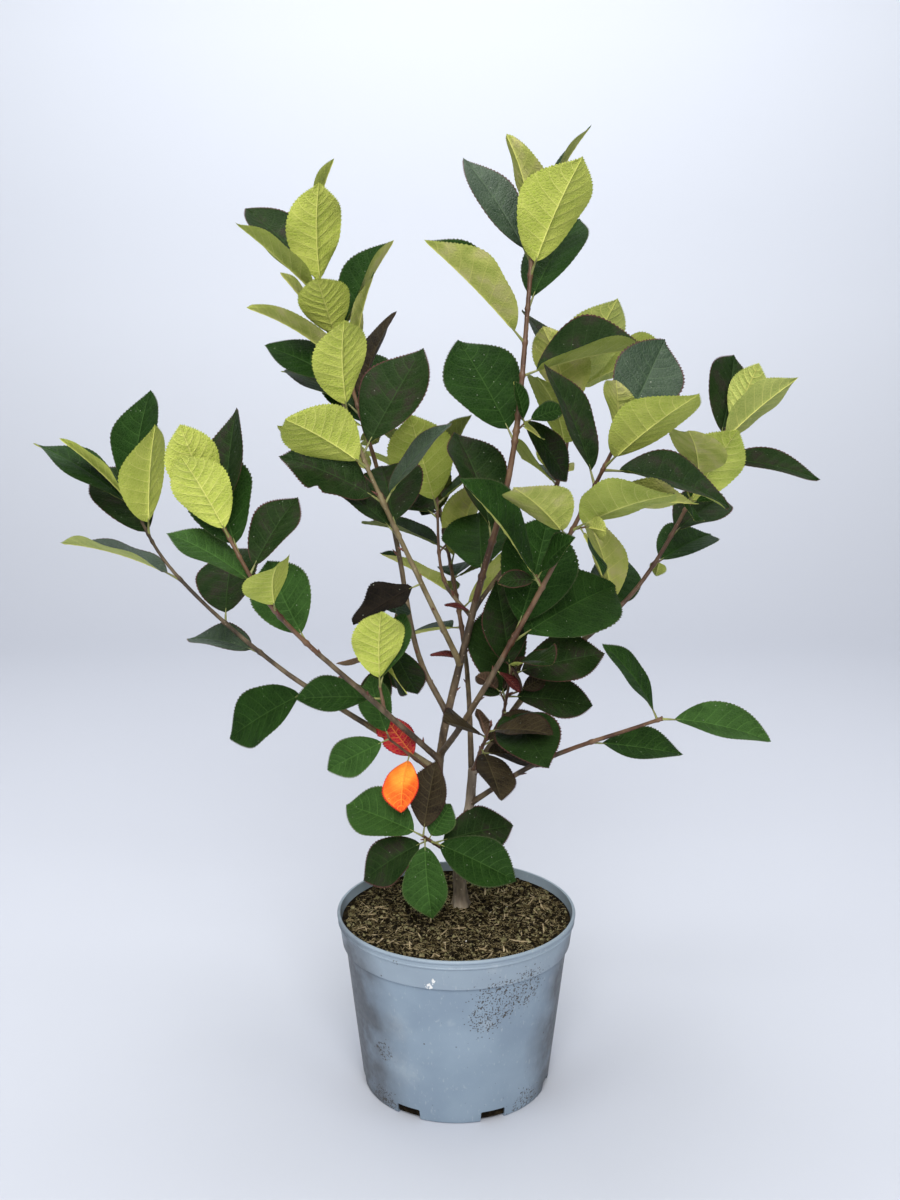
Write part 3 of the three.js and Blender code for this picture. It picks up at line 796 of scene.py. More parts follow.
@dataclass(frozen=True)
class PotPlastic:
    """Matt moulded plastic with scuffs, smears and specks of compost, and grime with painted shade down its
    sides.
    """

    shades: Shades = ((0.207, 0.272, 0.346), (0.226, 0.296, 0.370), (0.246, 0.318, 0.394))
    shade_size: float = 45.0
    shade_ends: Pair = (0.35, 0.65)
    dirt: Colour = (0.045, 0.036, 0.028)
    collar_level: float = 119.0
    collar_fade: float = 1.0
    collar_cover: float = 0.24
    scuff_size: float = 2.2
    scuff_detail: float = 4.0
    scuff_stretch: Point = (1.0, 1.0, 0.45)
    scuff_ends: Pair = (0.62, 0.72)
    scuff_cover: float = 0.42
    smudges: tuple[Smudge, ...] = (
        Smudge(Stain.PALE, POT_PALE, 5.0, 5.0, (0.2, 0.48), 0.3),
        # Grime with painted shade: dark smears over both sides of the wall
        Smudge(Stain.GRIME, (0.066, 0.070, 0.078), 24.0, 5.0, (0.04, 0.32), 0.85),
        Smudge(Stain.WHITE, (0.78, 0.78, 0.76), 2.6, 4.0, (0.36, 0.39), 1.0),
    )
    soiled_ends: Pair = (0.0, 0.5)
    crumbs: tuple[Pair, ...] = ((1.4, 0.58), (2.4, 0.61))
    crumb_detail: float = 1.0
    crumb_fade: float = 0.05
    crumb_cover: float = 0.85
    pepper_spacing: float = 3.6
    pepper_reach: Pair = (0.2, 0.08)
    pepper_ends: Pair = (0.12, 0.4)
    specks: tuple[Pair, ...] = ((15.0, 0.06), (6.0, 0.05))
    speck_cover: float = 0.8
    wear_size: float = 5.0
    wear_detail: float = 5.0
    roughness: Pair = (0.42, 0.6)
    grain: float = 0.7
    depth: float = 0.06
    specular: float = 0.4

    def stains(
        self, wiring: Wiring, wanted: Stain, place: Callable[[float, float], Array]
    ) -> Socket:
        """Nearness to the nearest mark of a kind.

        Args:
            wiring: Material in the making.
            wanted: Kind of mark.
            place: Gives the point on the wall at a turn and a height.

        Returns:
            Socket with the nearness.
        """
        marks = [wiring.near(place(turn, height), reach) for turn, height, reach in POT_MARKS[wanted]]
        return reduce(partial(wiring.sum, "MAXIMUM"), marks)

    def material(self, place: Callable[[float, float], Array]) -> Material:
        """Make the material.

        Args:
            place: Gives the point on the wall at a turn and a height.

        Returns:
            The material.
        """
        wiring = Wiring("pot_plastic")
        colours = wiring.ramp(wiring.noise(self.shade_size), self.shades, self.shade_ends)
        # The collar is coloured paler than the wall, from the shoulder up
        collar_ends = (self.collar_level * MM, (self.collar_level + self.collar_fade) * MM)
        collar = wiring.span(wiring.height(), collar_ends, (0.0, self.collar_cover))
        colours = wiring.over(collar, colours, POT_PALE)
        scratches = wiring.noise(self.scuff_size, self.scuff_detail, self.scuff_stretch)
        scuffs = wiring.span(scratches, self.scuff_ends, (0.0, self.scuff_cover))
        colours = wiring.over(scuffs, colours, POT_PALE)
        for smudge in self.smudges:
            fraying = wiring.noise(smudge.size, smudge.detail)
            frayed = wiring.sum("MULTIPLY", self.stains(wiring, smudge.stain, place), fraying)
            share = wiring.span(frayed, smudge.ends, (0.0, smudge.cover))
            colours = wiring.over(share, colours, smudge.colour)
        soiled = wiring.span(self.stains(wiring, Stain.DIRT, place), self.soiled_ends, WHOLE)
        for size, least in self.crumbs:
            crumbs = wiring.sum("MULTIPLY", soiled, wiring.noise(size, self.crumb_detail))
            share = wiring.span(crumbs, (least, least + self.crumb_fade), (0.0, self.crumb_cover))
            colours = wiring.over(share, colours, self.dirt)
        dots = wiring.span(wiring.dots(self.pepper_spacing), self.pepper_reach, WHOLE)
        pepper = wiring.sum("MULTIPLY", soiled, dots)
        share = wiring.span(pepper, self.pepper_ends, (0.0, self.speck_cover))
        colours = wiring.over(share, colours, self.dirt)
        for spacing, reach in self.specks:
            specks = wiring.span(wiring.dots(spacing), (reach, reach / 2), (0.0, self.speck_cover))
            colours = wiring.over(specks, colours, self.dirt)
        wiring.link(colours, wiring.shader.inputs["Base Color"])
        wear = wiring.noise(self.wear_size, self.wear_detail)
        wiring.link(wiring.span(wear, GRAIN_ENDS, self.roughness), wiring.shader.inputs["Roughness"])
        wiring.relief(wiring.noise(self.grain), self.depth)
        wiring.shader.inputs["Specular IOR Level"].default_value = self.specular
        return wiring.material


@dataclass(frozen=True)
class Backdrop:
    """Matt paper of the studio, dark on the floor and paler up the wall: painted shade, darker towards the
    bottom.
    """

    shades: Shades = ((0.52, 0.545, 0.61), (0.71, 0.745, 0.82), (0.81, 0.85, 0.93))
    rise: float = 1300.0
    grain: float = 3.0
    depth: float = 0.02
    roughness: float = 0.9
    specular: float = 0.2

    def material(self) -> Material:
        """Make the material."""
        wiring = Wiring("studio_floor")
        # Painted shade: the paper darkens towards the floor
        share = wiring.span(wiring.height(), (0.0, self.rise * MM), WHOLE)
        wiring.link(wiring.ramp(share, self.shades, WHOLE), wiring.shader.inputs["Base Color"])
        wiring.relief(wiring.noise(self.grain), self.depth)
        wiring.shader.inputs["Roughness"].default_value = self.roughness
        wiring.shader.inputs["Specular IOR Level"].default_value = self.specular
        return wiring.material


# Growth rule


class Seeded:
    """Number stream that always gives the same draws."""

    def __init__(self, seed: int) -> None:
        """Start the stream.

        Args:
            seed: Number that sets all draws.
        """
        self.state = seed % DRAW_RANGE

    def draw(self) -> float:
        """Number from nothing up to one."""
        self.state = (self.state * DRAW_FACTOR + DRAW_STEP) % DRAW_RANGE
        return self.state / DRAW_RANGE

    def spread(self, reach: float) -> float:
        """Number within a reach of nothing."""
        return (2 * self.draw() - 1) * reach

    def above(self, least: float, spread: float) -> float:
        """Number from a least one up, by less than a spread."""
        return least + spread * self.draw()

    def choice(self, options: Sequence[Tint]) -> Tint:
        """One of some tints."""
        return options[int(self.draw() * len(options))]


def spaced_curve(knots: Sequence[Point | Array]) -> tuple[Array, float]:
    """Centripetal curve through knots.

    Args:
        knots: Points that it passes through.

    Returns:
        Its points at equal steps, and its length.
    """
    inner = np.array(knots, dtype=float)
    ends = np.vstack([2 * inner[0] - inner[1], inner, 2 * inner[-1] - inner[-2]])
    share = np.linspace(0, 1, CURVE_SAMPLES)[:, None]
    runs = [inner[:1]]
    for a, b, c, d in zip(ends, ends[1:], ends[2:], ends[3:], strict=False):
        before, between, after = (math.sqrt(np.linalg.norm(q - p)) for p, q in ((a, b), (b, c), (c, d)))
        leave = ((b - a) / before - (c - a) / (before + between) + (c - b) / between) * between
        arrive = ((c - b) / between - (d - b) / (between + after) + (d - c) / after) * between
        bend = 3 * (c - b) - 2 * leave - arrive
        turn = 2 * (b - c) + leave + arrive
        runs.append((b + leave * share + bend * share**2 + turn * share**3)[1:])
    dense = np.vstack(runs)
    travelled = np.concatenate([[0], np.cumsum(np.linalg.norm(np.diff(dense, axis=0), axis=1))])
    wanted = np.linspace(0, travelled[-1], CURVE_STEPS + 1)
    points = np.stack([np.interp(wanted, travelled, dense[:, k]) for k in range(3)], axis=1)
    return points, float(travelled[-1])


@dataclass
class Limb:
    """Tapering curve that grows from its parent, or from the ground, to its tip.

    The bare share of its length is a bough, and the rest is a leafy stem.
    """

    name: str
    role: Role
    radii: Pair
    tip: Point
    parent: str = ""
    at: float = 0.0
    bare: float = 0.0
    via: tuple[Point, ...] = ()
    foot: Point = (0.0, 0.0, 0.0)
    bark: Bark = Bark.BROWN
    young: Bark = Bark.YOUNG
    points: Array = field(init=False)
    length: float = field(init=False)

    def grow(self, limbs: dict[str, "Limb"]) -> None:
        """Work out the curve.

        Args:
            limbs: Limbs that have grown already.
        """
        start = limbs[self.parent].point(self.at) if self.parent else self.foot
        self.points, self.length = spaced_curve([start, *self.via, self.tip])

    def point(self, share: float) -> Array:
        """Point at a share of the length."""
        place = min(max(share, 0.0), 1.0) * CURVE_STEPS
        k = min(int(place), CURVE_STEPS - 1)
        return self.points[k] + (self.points[k + 1] - self.points[k]) * (place - k)

    def radius(self, share: float) -> float:
        """Radius at a share of the length."""
        return self.radii[0] + (self.radii[1] - self.radii[0]) * share

    def axis(self, share: float) -> Array:
        """Direction at a share of the length."""
        k = min(max(math.floor(share * CURVE_STEPS + 0.5), 1), CURVE_STEPS - 1)
        return unit(self.points[k + 1] - self.points[k - 1])

    def outward(self, share: float, turn: float) -> Array:
        """Direction away from the limb at a turn about it.

        Args:
            share: Share of the length.
            turn: Turn from the back over the left.

        Returns:
            Unit direction.
        """
        back, left = across_of(self.axis(share))
        return back * math.cos(math.radians(turn)) + left * math.sin(math.radians(turn))

    def node(self) -> str:
        """Name of the CAD node of its bare stretch."""
        return self.name if self.role is Role.TRUNK else f"{self.role.value}_{self.name}"


LIMBS: tuple[Limb, ...] = (
    Limb("trunk", Role.TRUNK, (5.2, 4.6), (1, 18, 190), bare=1.0, foot=(4, 20, 137.3), bark=Bark.OLD),
    Limb(
        "leader", Role.STEM, (3.6, 1.5), (56, 12, 660), "trunk", 0.9, 0.44,
        ((-14, 22, 240), (12, 11, 380), (41, -1, 500)),
    ),
    Limb("second", Role.STEM, (4.2, 3.6), (13, 10, 256), "trunk", 0.9, 1.0, ((10, 12, 222),), bark=Bark.OLD),
    Limb(
        "left_front", Role.BOUGH, (2.6, 1.2), (-164, -86, 468), "leader", 0.16, 0.58,
        ((-62, -38, 325), (-131, -84, 408)),
    ),
    Limb(
        "left_back", Role.BOUGH, (2.6, 1.1), (-252, 34, 464), "leader", 0.14, 0.22,
        ((-50, 8, 280), (-146, 25, 340), (-228, 38, 416)), bark=Bark.TAN, young=Bark.BROWN,
    ),
    Limb(
        "up_left_front", Role.BOUGH, (2.4, 1.2), (-84, -34, 552), "leader", 0.33, 0.5,
        ((-30, -15, 418), (-66, -30, 501)), bark=Bark.TAN, young=Bark.TAN,
    ),
    Limb(
        "up_left_back", Role.BOUGH, (2.4, 1.1), (-112, 82, 644), "leader", 0.24, 0.5,
        ((-30, 42, 340), (-52, 68, 446)),
    ),
    Limb(
        "front_right", Role.BOUGH, (2.6, 1.2), (110, -86, 524), "leader", 0.17, 0.4,
        ((6, -18, 304), (57, -50, 405)),
    ),
    Limb(
        "right", Role.BOUGH, (2.8, 1.1), (220, 88, 520), "second", 0.95, 0.46,
        ((59, 40, 313), (150, 70, 394)),
    ),
    Limb("low_right", Role.BOUGH, (2.3, 1.3), (148, -72, 322), "second", 0.6, 0.55, ((64, -25, 274),)),
    Limb("back_right", Role.BOUGH, (1.9, 1.1), (94, 76, 550), "leader", 0.42, 0.45, ((80, 60, 476),)),
    Limb("back", Role.BOUGH, (2.4, 1.1), (-18, 165, 468), "second", 0.9, 0.45, ((8, 75, 330),)),
    Limb("inner_back", Role.BOUGH, (1.6, 1.0), (-16, 92, 462), "leader", 0.41, 0.35, ((-10, 48, 402),)),
    Limb("base", Role.SPUR, (1.5, 1.0), (-26, -20, 212), "trunk", 0.75),
    Limb("low_left", Role.SPUR, (1.4, 0.9), (-52, -12, 288), "leader", 0.13),
    Limb("left_spur", Role.SPUR, (1.3, 0.9), (-58, -26, 334), "left_front", 0.3),
    Limb("inner_left", Role.SPUR, (1.3, 0.9), (-56, 18, 342), "up_left_back", 0.3),
    Limb("inner_right", Role.SPUR, (1.5, 0.9), (42, -18, 346), "right", 0.12),
    Limb("low_inner", Role.SPUR, (1.5, 0.9), (26, -28, 304), "second", 0.98),
)

GREENS = (DEEP, DARK, DEEP, BLUISH)
LOW_GREENS = (FRESH, FRESH, DEEP)
# Tints of sprays inside the crown, mostly the copy with painted shade
INNER_GREENS = (INNER, DARK, BRONZE, INNER)


@dataclass(frozen=True)
class Seat:
    """Leaf that shows: share of its limb, turn, pitch, length, roll, and its own tint, fold or breadth."""

    share: float
    turn: float
    pitch: float
    length: float
    roll: float = 0.0
    tint: Tint | None = None
    fold: float | None = None
    breadth: float = 1.0

    def form(self, stream: "Seeded") -> "Form":
        """Draw the form of the leaf.

        Args:
            stream: Stream of the spray.

        Returns:
            The form, with the leaf's own fold and breadth.
        """
        form = Form.drawn(stream, self.pitch, self.length, self.roll)
        form.width *= self.breadth
        if self.fold is not None:
            form.fold = math.radians(self.fold)
        return form


@dataclass(frozen=True)
class Spray:
    """Leaves of a limb: those that show, and the spiral that fills in, with the tints that they draw from."""

    limb: str
    seed: int
    count: int
    tuft: int
    phase: float
    hand: int
    length: float
    pitch: Pair
    sky: float
    start: float | None = None
    tints: tuple[Tint, ...] = GREENS
    odd: tuple[tuple[int, Tint], ...] = ()
    shown: tuple[Seat, ...] = ()

    def place(self, limb: Limb, i: int) -> float:
        """Share of the limb where a leaf stands: spread out below, crowded in the tuft at the tip.

        Args:
            limb: Limb of the spray.
            i: Number of the leaf.

        Returns:
            Share of the limb's length.
        """
        first = limb.bare + FIRST_LEAF if self.start is None else self.start
        foot = max(1 - TUFT_RUN / limb.length, first)
        below = self.count - self.tuft
        if i < below:
            return first + (foot - first) * i / below
        return foot + (1 - foot) * (i - below + 1) / self.tuft

    def key(self, stream: int, i: int = 0) -> int:
        """Seed of one of its streams, or of a leaf in that stream."""
        return self.seed * STREAM_STEP + stream + QUIRK_STEP * i

    def turn(self, i: int) -> float:
        """Turn about the limb of a leaf before its own spread."""
        return self.phase + self.hand * GOLDEN_ANGLE * i

    def places(self, limb: Limb) -> list[float]:
        """Shares of the limb where all its leaves stand."""
        return [seat.share for seat in self.shown] + [self.place(limb, i) for i in range(self.count)]


SPRAYS: tuple[Spray, ...] = (
    Spray(
        "leader", 22, 2, 0, 0, -1, 90, (84, 20), 0.1,
        shown=(
            Seat(0.95, 210, 32, 84, 0, FRESH), Seat(0.97, 62, 38, 90, -30, BLUISH, breadth=0.65),
            Seat(0.99, 130, 20, 74, -20), Seat(1, 262, 18, 84),
            Seat(0.9, 320, 34, 86, 0, DEEP), Seat(0.85, 112, 52, 94, -22, DEEP, fold=40),
            Seat(0.7, 58, 40, 84, -45, DEEP), Seat(0.8, 280, 70, 88, 20, DARK, fold=40),
            Seat(0.74, 300, 130, 62, 60, DARK), Seat(0.54, 40, 46, 88, 0, DARK),
        ),
    ),
    Spray(
        "left_front", 24, 3, 0, 340, -1, 82, (52, 26), 0.5, tints=(DEEP, FRESH, DEEP),
        shown=(
            Seat(0.95, 190, 20, 64, 0, FRESH), Seat(1, 240, 18, 66, 0, FRESH, breadth=0.8),
            Seat(0.98, 300, 38, 78, 0, DARK), Seat(0.9, 350, 30, 78, 0, DEEP),
            Seat(0.74, 215, 50, 62, 0, FRESH), Seat(0.62, 345, 44, 62, 0, FRESH),
        ),
    ),
    Spray(
        "left_back", 21, 0, 0, 20, 1, 74, (72, 24), 0.4,
        shown=(
            Seat(0.92, 245, 34, 84, 0, FRESH), Seat(1, 112, 18, 66, 0, FRESH),
            Seat(1, 318, 40, 86, 0, DEEP), Seat(0.98, 66, 30, 86, 0, DEEP),
            Seat(0.9, 20, 36, 78, 0, DARK), Seat(0.79, 96, 28, 88, 0, BLUISH),
            Seat(0.53, 55, 34, 64, 0, BLUISH), Seat(0.64, 330, 58, 78, 30, DARK),
            Seat(0.38, 80, 62, 78, -50, DEEP),
        ),
    ),
    Spray(
        "up_left_front", 24, 3, 0, 350, 1, 92, (72, 16), 0.0,
        shown=(
            Seat(0.93, 210, 32, 72, 0, FRESH), Seat(0.76, 140, 40, 74, 30, FRESH),
            Seat(0.8, 300, 56, 84, 30, DARK), Seat(0.64, 115, 38, 74, -40, DARK),
            Seat(0.52, 95, 30, 74, 0, DARK), Seat(0.63, 282, 62, 70, 0, BLUISH),
        ),
    ),
    Spray(
        "up_left_back", 26, 4, 0, 140, -1, 84, (55, 18), 0.2,
        shown=(
            Seat(0.98, 50, 34, 82, 0, DARK), Seat(0.95, 215, 28, 78, 0, FRESH),
            Seat(0.93, 112, 32, 80), Seat(1, 275, 24, 78),
            Seat(0.84, 285, 46, 84, 20, DEEP, fold=35), Seat(0.7, 300, 40, 78, 0, BRONZE),
            Seat(0.84, 185, 40, 58, 0, FRESH), Seat(0.78, 110, 38, 82),
            Seat(0.68, 45, 50, 84, 0, DARK),
        ),
    ),
    Spray(
        "front_right", 21, 3, 0, 320, 1, 102, (60, 40), 0.0,
        shown=(
            Seat(0.93, 215, 28, 84, 0, FRESH), Seat(0.99, 140, 36, 52, 0, DEEP),
            Seat(0.88, 65, 50, 82, 0, DARK), Seat(1, 355, 34, 72, 0, BLUISH),
            Seat(0.74, 130, 62, 74, 45, DEEP), Seat(0.81, 258, 54, 74, -40, DEEP),
            Seat(0.92, 290, 86, 96, 0, DARK), Seat(0.46, 15, 34, 86, 0, DEEP),
        ),
    ),
    Spray(
        "right", 21, 3, 0, 100, -1, 80, (62, 20), 0.1,
        shown=(
            Seat(0.96, 20, 28, 78, 0, DARK), Seat(0.95, 235, 22, 74, -10),
            Seat(1, 150, 10, 50, -15), Seat(0.86, 150, 70, 76, 0, DEEP),
            Seat(0.92, 272, 72, 84, 30, DARK, breadth=0.7), Seat(0.72, 320, 40, 66, 0, DARK),
            Seat(0.5, 25, 50, 78, 0, DEEP),
        ),
    ),
    Spray(
        "low_right", 24, 0, 0, 160, 1, 64, (105, 45), 0.7, tints=(DEEP, FRESH),
        shown=(
            Seat(0.98, 88, 95, 62), Seat(1, 285, 36, 70, 0, FRESH),
            Seat(0.68, 290, 34, 60),
        ),
    ),
    Spray(
        "back_right", 22, 5, 2, 240, 1, 88, (80, 40), 0.4,
        shown=(
            Seat(1, 290, 56, 82, -35, DARK), Seat(0.98, 220, 30, 76),
            Seat(0.88, 140, 34, 74, 0, DEEP),
        ),
    ),
    Spray("back", 25, 11, 3, 40, -1, 78, (70, 38), 0.9, tints=(INNER, DEEP, INNER)),
    Spray("inner_back", 22, 6, 4, 120, 1, 78, (55, 44), 1.0, tints=INNER_GREENS, odd=((1, DRIED),)),
    Spray(
        "base", 23, 3, 2, 220, -1, 64, (125, 65), 0.5, 0.7, tints=LOW_GREENS,
        odd=((1, DARK), (2, BRONZE)),
        shown=(
            Seat(1, 35, 70, 62, 0, FRESH), Seat(0.95, 147, 110, 56, 0, FRESH),
            Seat(0.8, 215, 118, 66, 0, DEEP), Seat(0.7, 262, 122, 60, 20, DARK),
        ),
    ),
    Spray(
        "low_left", 25, 2, 1, 100, -1, 50, (85, 60), 0.4, 0.5, tints=LOW_GREENS,
        shown=(
            Seat(0.45, 330, 22, 46, 0, RED), Seat(0.6, 140, 96, 42, 0, ORANGE, breadth=1.3),
            Seat(1, 80, 80, 50, -45, FRESH),
        ),
    ),
    Spray(
        "left_spur", 26, 2, 1, 140, 1, 60, (95, 32), 0.5, 0.4, tints=LOW_GREENS,
        shown=(
            Seat(0.5, 100, 78, 58, -40, DEEP), Seat(0.95, 200, 36, 64, 0, FRESH),
        ),
    ),
    Spray(
        "inner_left", 25, 5, 4, 180, -1, 44, (80, 26), 0.0, 0.4, tints=(DEEP, DARK),
        odd=((2, BRONZE),),
    ),
    Spray(
        "inner_right", 21, 6, 3, 180, -1, 76, (60, 36), 0.0, 0.3, tints=INNER_GREENS,
        shown=(
            Seat(0.9, 285, 78, 66, 0, DARK), Seat(0.55, 275, 95, 62, 0, DARK),
        ),
    ),
    Spray("low_inner", 25, 7, 3, 280, 1, 54, (95, 40), 0.2, 0.4, tints=(BRONZE,)),
)

# Late leaves on the bare wood and in gaps, each with its limb
STRAYS: tuple[tuple[str, Seat], ...] = (
    ("leader", Seat(0.42, 95, 85, 20, 0, MAROON)),
    ("leader", Seat(0.34, 80, 100, 22, 0, MAROON)),
    ("front_right", Seat(0.36, 255, 100, 22, 0, MAROON)),
    ("up_left_front", Seat(0.34, 95, 95, 54, -20, DRIED)),
    ("left_front", Seat(0.85, 300, 62, 60, 40, DARK)),
    ("up_left_back", Seat(0.74, 85, 45, 70, -35, DEEP)),
    ("right", Seat(0.4, 60, 40, 76, 0, DEEP)),
    ("base", Seat(0.85, 285, 75, 30, 30, FRESH, breadth=1.2)),
)


@dataclass(frozen=True)
class LeafRule:
    """Spreads of the draws that give a leaf its form, and the shares of its length."""

    stalk_share: float = 0.12
    sink: float = 0.3
    width_share: float = 0.64
    width_spread: float = 0.06
    length_spread: float = 0.1
    tip_loss: float = 0.15
    turn_spread: float = 10.0
    pitch_spread: float = 7.0
    fold: Pair = (6.0, 12.0)
    droop: Pair = (5.0, 16.0)
    droop_start: float = 0.6
    droop_swing: float = 1.6
    roll_spread: float = 26.0
    base_fill: float = 0.75
    tip_fill: float = 0.5
    sheet_rows: tuple[float, ...] = (0.12, 0.3, 0.5, 0.7, 0.88, 1.0)
    sheet_lifts: tuple[float, ...] = (-2.0, 0.0, 2.0)
    sheet_reach: float = 8.0
    try_turns: tuple[float, ...] = (0, 9, -9, 18, -18, 27, -27)

    def outline(self, places: Array) -> Array:
        """Shares of the half width at places along a blade."""
        a = self.base_fill
        b = self.tip_fill
        peak = (a / (a + b)) ** a * (b / (a + b)) ** b
        return np.clip(places, 0, 1) ** a * np.clip(1 - places, 0, 1) ** b / peak


RULE = LeafRule()


@dataclass
class Sheet:
    """Thin sheet of a leaf for the room test."""

    segments: Array
    triangles: Array
    centre: Array
    radius: float


@dataclass
class Form:
    """Drawn form of a leaf, angles in radians."""

    pitch: float
    length: float
    width: float
    fold: float
    droop: float
    roll: float

    @classmethod
    def drawn(cls, stream: Seeded, pitch: float, length: float, roll: float | None = None) -> "Form":
        """Draw a form in the rule's order.

        Args:
            stream: Stream of the spray.
            pitch: Pitch from the limb.
            length: Length of the blade.
            roll: Roll about the midrib, drawn too unless it is given.

        Returns:
            The form.
        """
        return cls(
            pitch=math.radians(pitch),
            length=length,
            width=length * (RULE.width_share + stream.spread(RULE.width_spread)),
            fold=math.radians(stream.above(*RULE.fold)),
            droop=math.radians(stream.above(*RULE.droop)),
            roll=math.radians(stream.spread(RULE.roll_spread) if roll is None else roll),
        )

    @classmethod
    def spread(cls, stream: Seeded, pitch: float, length: float) -> "Form":
        """Draw a form with a pitch and a length that are spread too.

        Args:
            stream: Stream of the spray.
            pitch: Pitch from the limb before its spread.
            length: Length of the blade before its spread.

        Returns:
            The form.
        """
        pitch += stream.spread(RULE.pitch_spread)
        length *= 1 + stream.spread(RULE.length_spread)
        return cls.drawn(stream, pitch, length)


@dataclass
class Leaf:
    """Leaf in its place, with the seed of its own quirks."""

    form: Form
    base: Array
    along: Array
    normal: Array
    tint: Tint = DEEP
    spray: str = ""
    seed: int = 0

    @property
    def stalk(self) -> float:
        """Length of the stalk."""
        return RULE.stalk_share * self.form.length

    def share(self, places: Array) -> Array:
        """Shares of the whole leaf at places along its blade."""
        return (self.stalk + self.form.length * places) / (self.form.length + self.stalk)

    def frames(self, shares: Array) -> tuple[Array, Array, Array]:
        """Midrib of the drooping leaf.

        Args:
            shares: Shares of the whole leaf, stalk included.

        Returns:
            Points, directions and upper sides.
        """
        total = self.form.length + self.stalk
        start = -self.form.droop * RULE.droop_start
        swing = self.form.droop * RULE.droop_swing
        now = (start + swing * shares)[..., None]
        forward = (np.sin(now) - math.sin(start)) / swing * total
        fall = (math.cos(start) - np.cos(now)) / swing * total
        points = self.base + self.along * forward - self.normal * fall
        ahead = self.along * np.cos(now) - self.normal * np.sin(now)
        upper = self.normal * np.cos(now) + self.along * np.sin(now)
        return points, ahead, upper

    def sheet(self, lift: float = 0.0) -> Sheet:
        """Thin folded sheet of the blade.

        Args:
            lift: How far it lies above the blade.

        Returns:
            Its edges and triangles.
        """
        places = np.array(RULE.sheet_rows)
        points, ahead, upper = self.frames(self.share(places))
        half = (self.form.width / 2 * RULE.outline(places))[:, None]
        edge = np.cross(ahead, upper) * half * math.cos(self.form.fold)
        rise = upper * (half * math.sin(self.form.fold) + lift)
        rows = np.stack([points - edge + rise, points + upper * lift, points + edge + rise], axis=1)
        low = rows[:-1]
        high = rows[1:]
        lengthwise = np.stack([low, high], axis=2).reshape(-1, 2, 3)
        crosswise = np.stack([low[:, :2], low[:, 1:]], axis=2).reshape(-1, 2, 3)
        first = np.stack([low[:, :2], low[:, 1:], high[:, 1:]], axis=2).reshape(-1, 3, 3)
        second = np.stack([low[:, :2], high[:, 1:], high[:, :2]], axis=2).reshape(-1, 3, 3)
        centre = rows[:, 1].mean(axis=0)
        radius = float(np.linalg.norm(rows.reshape(-1, 3) - centre, axis=1).max())
        return Sheet(np.concatenate([lengthwise, crosswise]), np.concatenate([first, second]), centre, radius)


def crosses(segments: Array, triangles: Array) -> bool:
    """Whether any segment passes through any triangle.

    Args:
        segments: Two points each.
        triangles: Three points each.

    Returns:
        True if one does.
    """
    start = segments[:, None, 0]
    ray = segments[:, None, 1] - start
    first = triangles[None, :, 1] - triangles[None, :, 0]
    second = triangles[None, :, 2] - triangles[None, :, 0]
    normal = np.cross(ray, second)
    scale = (first * normal).sum(axis=-1)
    real = np.abs(scale) > FLAT
    scale = np.where(real, scale, 1.0)
    offset = start - triangles[None, :, 0]
    turned = np.cross(offset, first)
    u = (offset * normal).sum(axis=-1) / scale
    v = (ray * turned).sum(axis=-1) / scale
    t = (second * turned).sum(axis=-1) / scale
    return bool((real & (u >= 0) & (v >= 0) & (u + v <= 1) & (t >= 0) & (t <= 1)).any())


@dataclass
class Room:
    """Space of the crown: the limbs and the leaves that are already there."""

    axes: Array
    placed: list[Sheet] = field(default_factory=list)

    def is_clear(self, leaf: Leaf) -> bool:
        """Whether a leaf keeps clear of leaves and limbs.

        Args:
            leaf: Leaf to try.

        Returns:
            True if there is room for it.
        """
        for lift in RULE.sheet_lifts:
            sheet = leaf.sheet(lift)
            for other in self.placed:
                if np.linalg.norm(other.centre - sheet.centre) >= other.radius + sheet.radius:
                    continue
                if crosses(sheet.segments, other.triangles) or crosses(other.segments, sheet.triangles):
                    return False
            away = np.linalg.norm(self.axes[:, 0] - sheet.centre, axis=1)
            close = self.axes[away < sheet.radius + RULE.sheet_reach]
            if crosses(close, sheet.triangles):
                return False
        return True


@dataclass(frozen=True)
class DwarfRule:
    """Short side twigs in leaf axils that bear a few small leaves."""

    share: float = 0.3
    length: Pair = (5.0, 8.0)
    radii: Pair = (0.95, 0.7)
    lean: float = 1.1
    leaves: int = 3
    leaf_share: Pair = (0.26, 0.2)
    pitch: Pair = (62.0, 24.0)
    first: float = 0.6


@dataclass(frozen=True)
class BudRule:
    """Pointed buds in some leaf axils, and along the bare bough below them."""

    share: float = 0.55
    length: Pair = (3.0, 4.0)
    lean: float = 0.7
    spacing: float = 27.0


@dataclass
class Bud:
    """Bud in its place."""

    foot: Array
    direction: Array
    length: float


